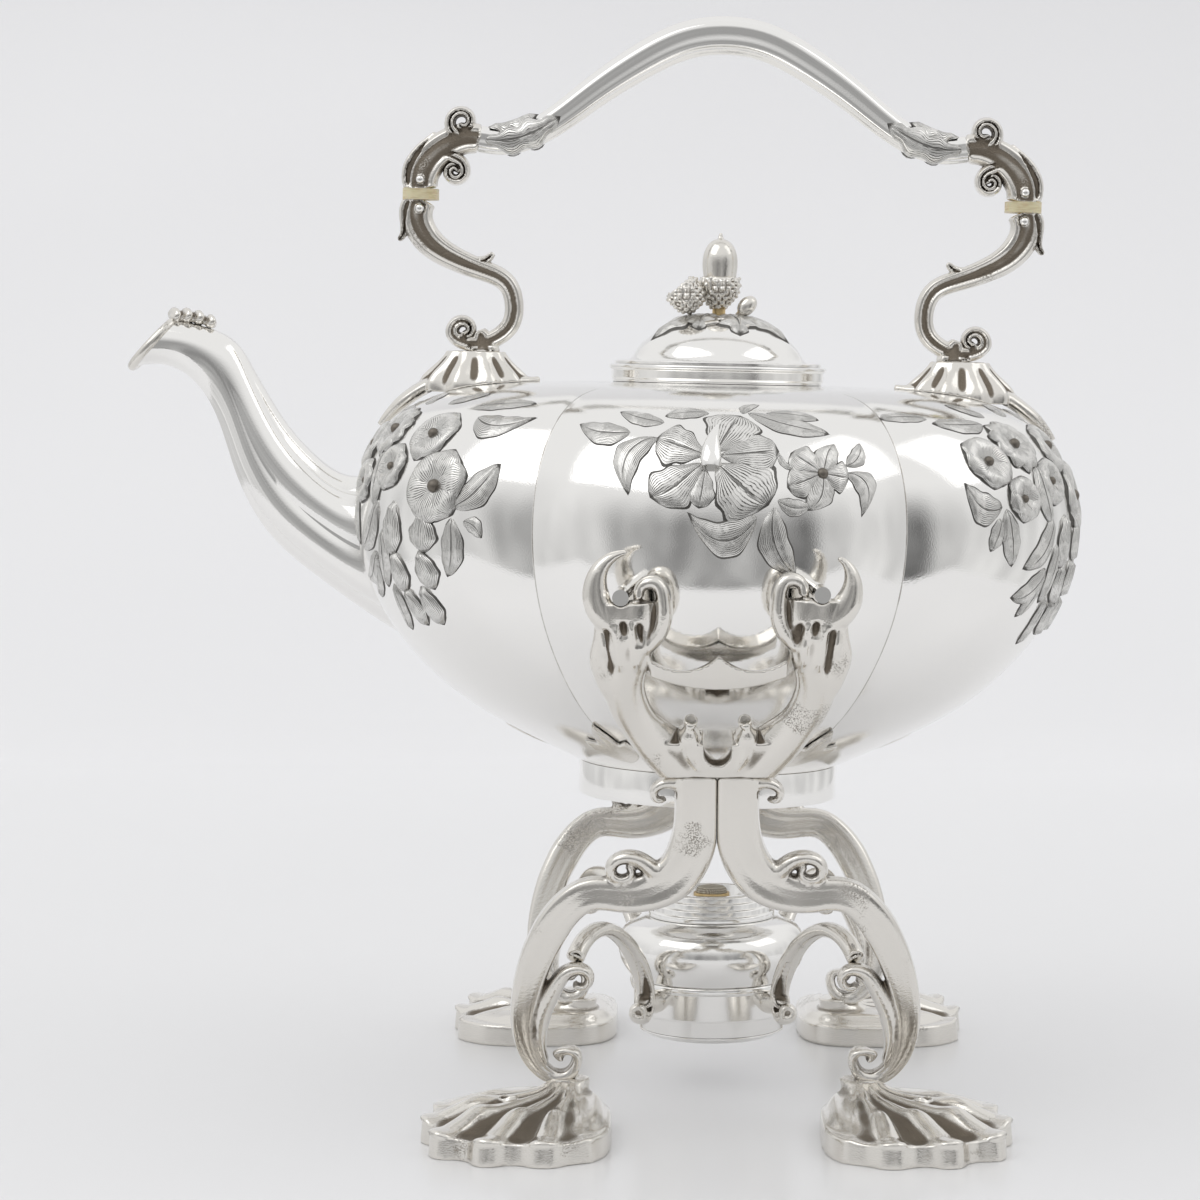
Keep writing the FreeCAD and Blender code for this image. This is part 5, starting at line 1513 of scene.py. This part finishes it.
def ropes(points: np.ndarray, normals: np.ndarray) -> np.ndarray:
    """Slanting ropes of the shell on the spout.

    Args:
        points: points of the shell.
        normals: normals there.

    Returns:
        How far each point moves out.
    """
    wave = 0.5 + 0.7 * np.sin(1.5 * points[:, 0] + 0.8 * points[:, 1])
    return wave * np.clip(normals[:, 2] + 0.6, 0.0, 1.0)


def scales(points: np.ndarray, normals: np.ndarray) -> np.ndarray:
    """Scales of an acorn's cup.

    Args:
        points: points of the cup.
        normals: normals there.

    Returns:
        How far each point moves out.
    """
    wave = np.sin(points * 2.6)
    lumps = wave[:, 0] * wave[:, 1] + wave[:, 1] * wave[:, 2] + wave[:, 2] * wave[:, 0]
    return 0.22 * lumps * (normals[:, 2] < 0.97)


@dataclass
class KettleCastings:
    """Cast fittings of the kettle and the lid."""

    sides: tuple[str, ...] = ("spout", "tail")

    def build(self) -> None:
        """Make the cast fittings."""
        for side in self.sides:
            for kind, sculpt, depth in (
                ("elbow", channel, 0.45), ("scroll", channel, 0.45), ("socket", None, 0.16),
            ):
                Casting(f"handle_{kind}_{side}", 0.38).deliver(Body.KETTLE, CAST, sculpt, 60, depth, 1.1)
        Casting("spout_shell", 0.42).deliver(Body.KETTLE, CAST, ropes, 40, 0.3, 1.0)
        Casting("lower_sprays", 0.42).deliver(Body.KETTLE, CAST)
        for node in ("finial_leaves", "acorn_cup", "acorn_nut", "empty_cup", "acorn_bud"):
            sculpt = scales if node.endswith("cup") else None
            Casting(node, 0.3).deliver(Body.LID, CAST, sculpt, 40, 0.25, 3.5)


@dataclass
class PlainFittings:
    """Small CAD pieces that keep their own shape and get their finish here."""

    finishes: tuple[tuple[str, Any], ...] = (
        ("insulator_spout", Bone()), ("insulator_tail", Bone()), ("insulator_pins", POLISHED),
        ("pivot_pins", POLISHED), ("rest_pins", POLISHED), ("hinge_knuckles", POLISHED),
        ("lid_knuckle", POLISHED), ("lid_hinge_pin", POLISHED), ("finial_stalk", Gilt()),
        ("finial_nut", Gilt()),
    )

    def build(self) -> None:
        """Dress the fittings."""
        for node, finish in self.finishes:
            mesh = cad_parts[node].data
            mesh.materials.clear()
            mesh.materials.append(MATERIALS[finish.name])
            log.info("%s: dressed", node)


@dataclass
class Studio:
    """Pale floor, soft light and the camera, in metres."""

    camera_place: tuple[float, float, float] = (0.0189, -1.136, 0.245)
    pitch_deg: float = 3.99
    yaw_deg: float = 0.92
    lens_mm: float = 100.2
    backdrop: Colour = (0.78, 0.78, 0.79)
    glow: Colour = (0.13, 0.13, 0.135)

    def build(self) -> None:
        """Set up the floor, the world, the lamps and the camera."""
        scene = bpy.context.scene
        scene.view_settings.view_transform = "Standard"
        self.floor()
        self.world(scene)
        self.lamps()
        data = bpy.data.cameras.new("camera")
        data.lens = self.lens_mm
        data.clip_end = 50.0
        camera = bpy.data.objects.new("camera", data)
        camera.location = self.camera_place
        camera.rotation_euler = (math.radians(90 - self.pitch_deg), 0.0, math.radians(self.yaw_deg))
        scene.collection.objects.link(camera)
        scene.camera = camera

    def floor(self) -> None:
        """Sheet of pale paper that sweeps up into a backdrop."""
        bm = bmesh.new()
        line = [(-0.36, 0.0), (1.5, 0.0), (1.5, 1.3)]
        verts = [bm.verts.new((-0.62, y, z)) for y, z in line]
        edges = [bm.edges.new(pair) for pair in zip(verts, verts[1:])]
        made = bmesh.ops.extrude_edge_only(bm, edges=edges)["geom"]
        fresh = [item for item in made if isinstance(item, bmesh.types.BMVert)]
        bmesh.ops.translate(bm, verts=fresh, vec=(1.16, 0, 0))
        fold = [edge for edge in bm.edges if len(edge.link_faces) == 2]
        bmesh.ops.bevel(
            bm, geom=fold, offset=0.6, offset_type="OFFSET", segments=32, profile=0.5, affect="EDGES",
            material=-1,
        )
        bmesh.ops.recalc_face_normals(bm, faces=bm.faces)
        mesh = bpy.data.meshes.new("floor")
        bm.to_mesh(mesh)
        bm.free()
        for polygon in mesh.polygons:
            polygon.use_smooth = True
        floor = bpy.data.objects.new("floor", mesh)
        bpy.context.scene.collection.objects.link(floor)
        tree = ShaderTree("floor")
        cloud = tree.noise(3.0, 2.0)
        colour = tree.mix(cloud, (0.90, 0.90, 0.91), (0.87, 0.87, 0.88))
        path = tree.node("ShaderNodeLightPath", {}, {})
        seen = tree.out(path, "Is Camera Ray") + tree.out(path, "Is Glossy Ray")
        split = tree.node("ShaderNodeSeparateXYZ", {}, {"Vector": tree.place()})
        far = (tree.out(split, "Y") + tree.out(split, "Z")).step(0.3, 1.9)
        glow = tree.mix(seen * far, (0.0, 0.0, 0.0), self.glow)
        mesh.materials.append(tree.surface(
            {
                "Base Color": colour, "Roughness": 0.2 + cloud * 0.06, "Emission Color": glow,
                "Emission Strength": 1.0,
            }
        ))

    def world(self, scene: bpy.types.Scene) -> None:
        """Room round the object: pale above and at the sides, greyer in front, a dark gap on the right."""
        tree = ShaderTree("room", world=True)
        way = tree.out(tree.node("ShaderNodeTexCoord", {}, {}), "Generated")
        split = tree.node("ShaderNodeSeparateXYZ", {}, {"Vector": way})
        rise = tree.out(split, "Z")
        bearing = tree.math("ARCTAN2", tree.out(split, "X"), tree.out(split, "Y") * -1.0)
        front = bearing.size().step(1.3, 0.45)
        gap = (bearing - 0.66).size().step(0.24, 0.06)
        stretch = tree.node("ShaderNodeMapping", {}, {"Vector": way, "Scale": (4.5, 4.5, 0.8)})
        folds = tree.noise(1.0, 3.0, tree.out(stretch, "Vector"))
        low = rise.step(0.55, 0.0)
        level = 0.86 - low * (0.16 + front * 0.34 + gap * 0.24 - (folds - 0.5) * 0.8)
        path = tree.node("ShaderNodeLightPath", {}, {})
        direct = tree.out(path, "Is Camera Ray")
        colour = tree.mix(direct, (1.0, 1.0, 1.0), self.backdrop)
        strength = direct + (1.0 - direct) * level
        scene.world = tree.surface({"Color": colour, "Strength": strength}, "ShaderNodeBackground")

    def lamps(self) -> None:
        """Soft boxes above and beside the object."""
        for name, place, target, size, watts in (
            ("key", (-0.9, -0.7, 1.5), (0.0, 0.0, 0.15), 1.3, 4.0),
            ("fill", (1.2, -0.2, 1.3), (0.0, 0.0, 0.15), 1.0, 1.4),
        ):
            data = bpy.data.lights.new(name, "AREA")
            data.shape = "SQUARE"
            data.size = size
            data.energy = watts
            lamp = bpy.data.objects.new(name, data)
            lamp.location = place
            aim = Vector(target) - Vector(place)
            lamp.rotation_euler = aim.to_track_quat("-Z", "Y").to_euler()
            bpy.context.scene.collection.objects.link(lamp)


def main() -> None:
    """Build every sub-assembly."""
    logging.basicConfig(level=logging.INFO, format="%(message)s")
    for finish in FINISHES:
        MATERIALS[finish.name] = finish.material()
    belly = Belly()
    for assembly in (
        belly, Ornament(belly), Spout(belly), Grip(), Turnings(), Stand(), KettleCastings(), PlainFittings(),
        Studio(),
    ):
        assembly.build()


if __name__ == "__main__":
    main()
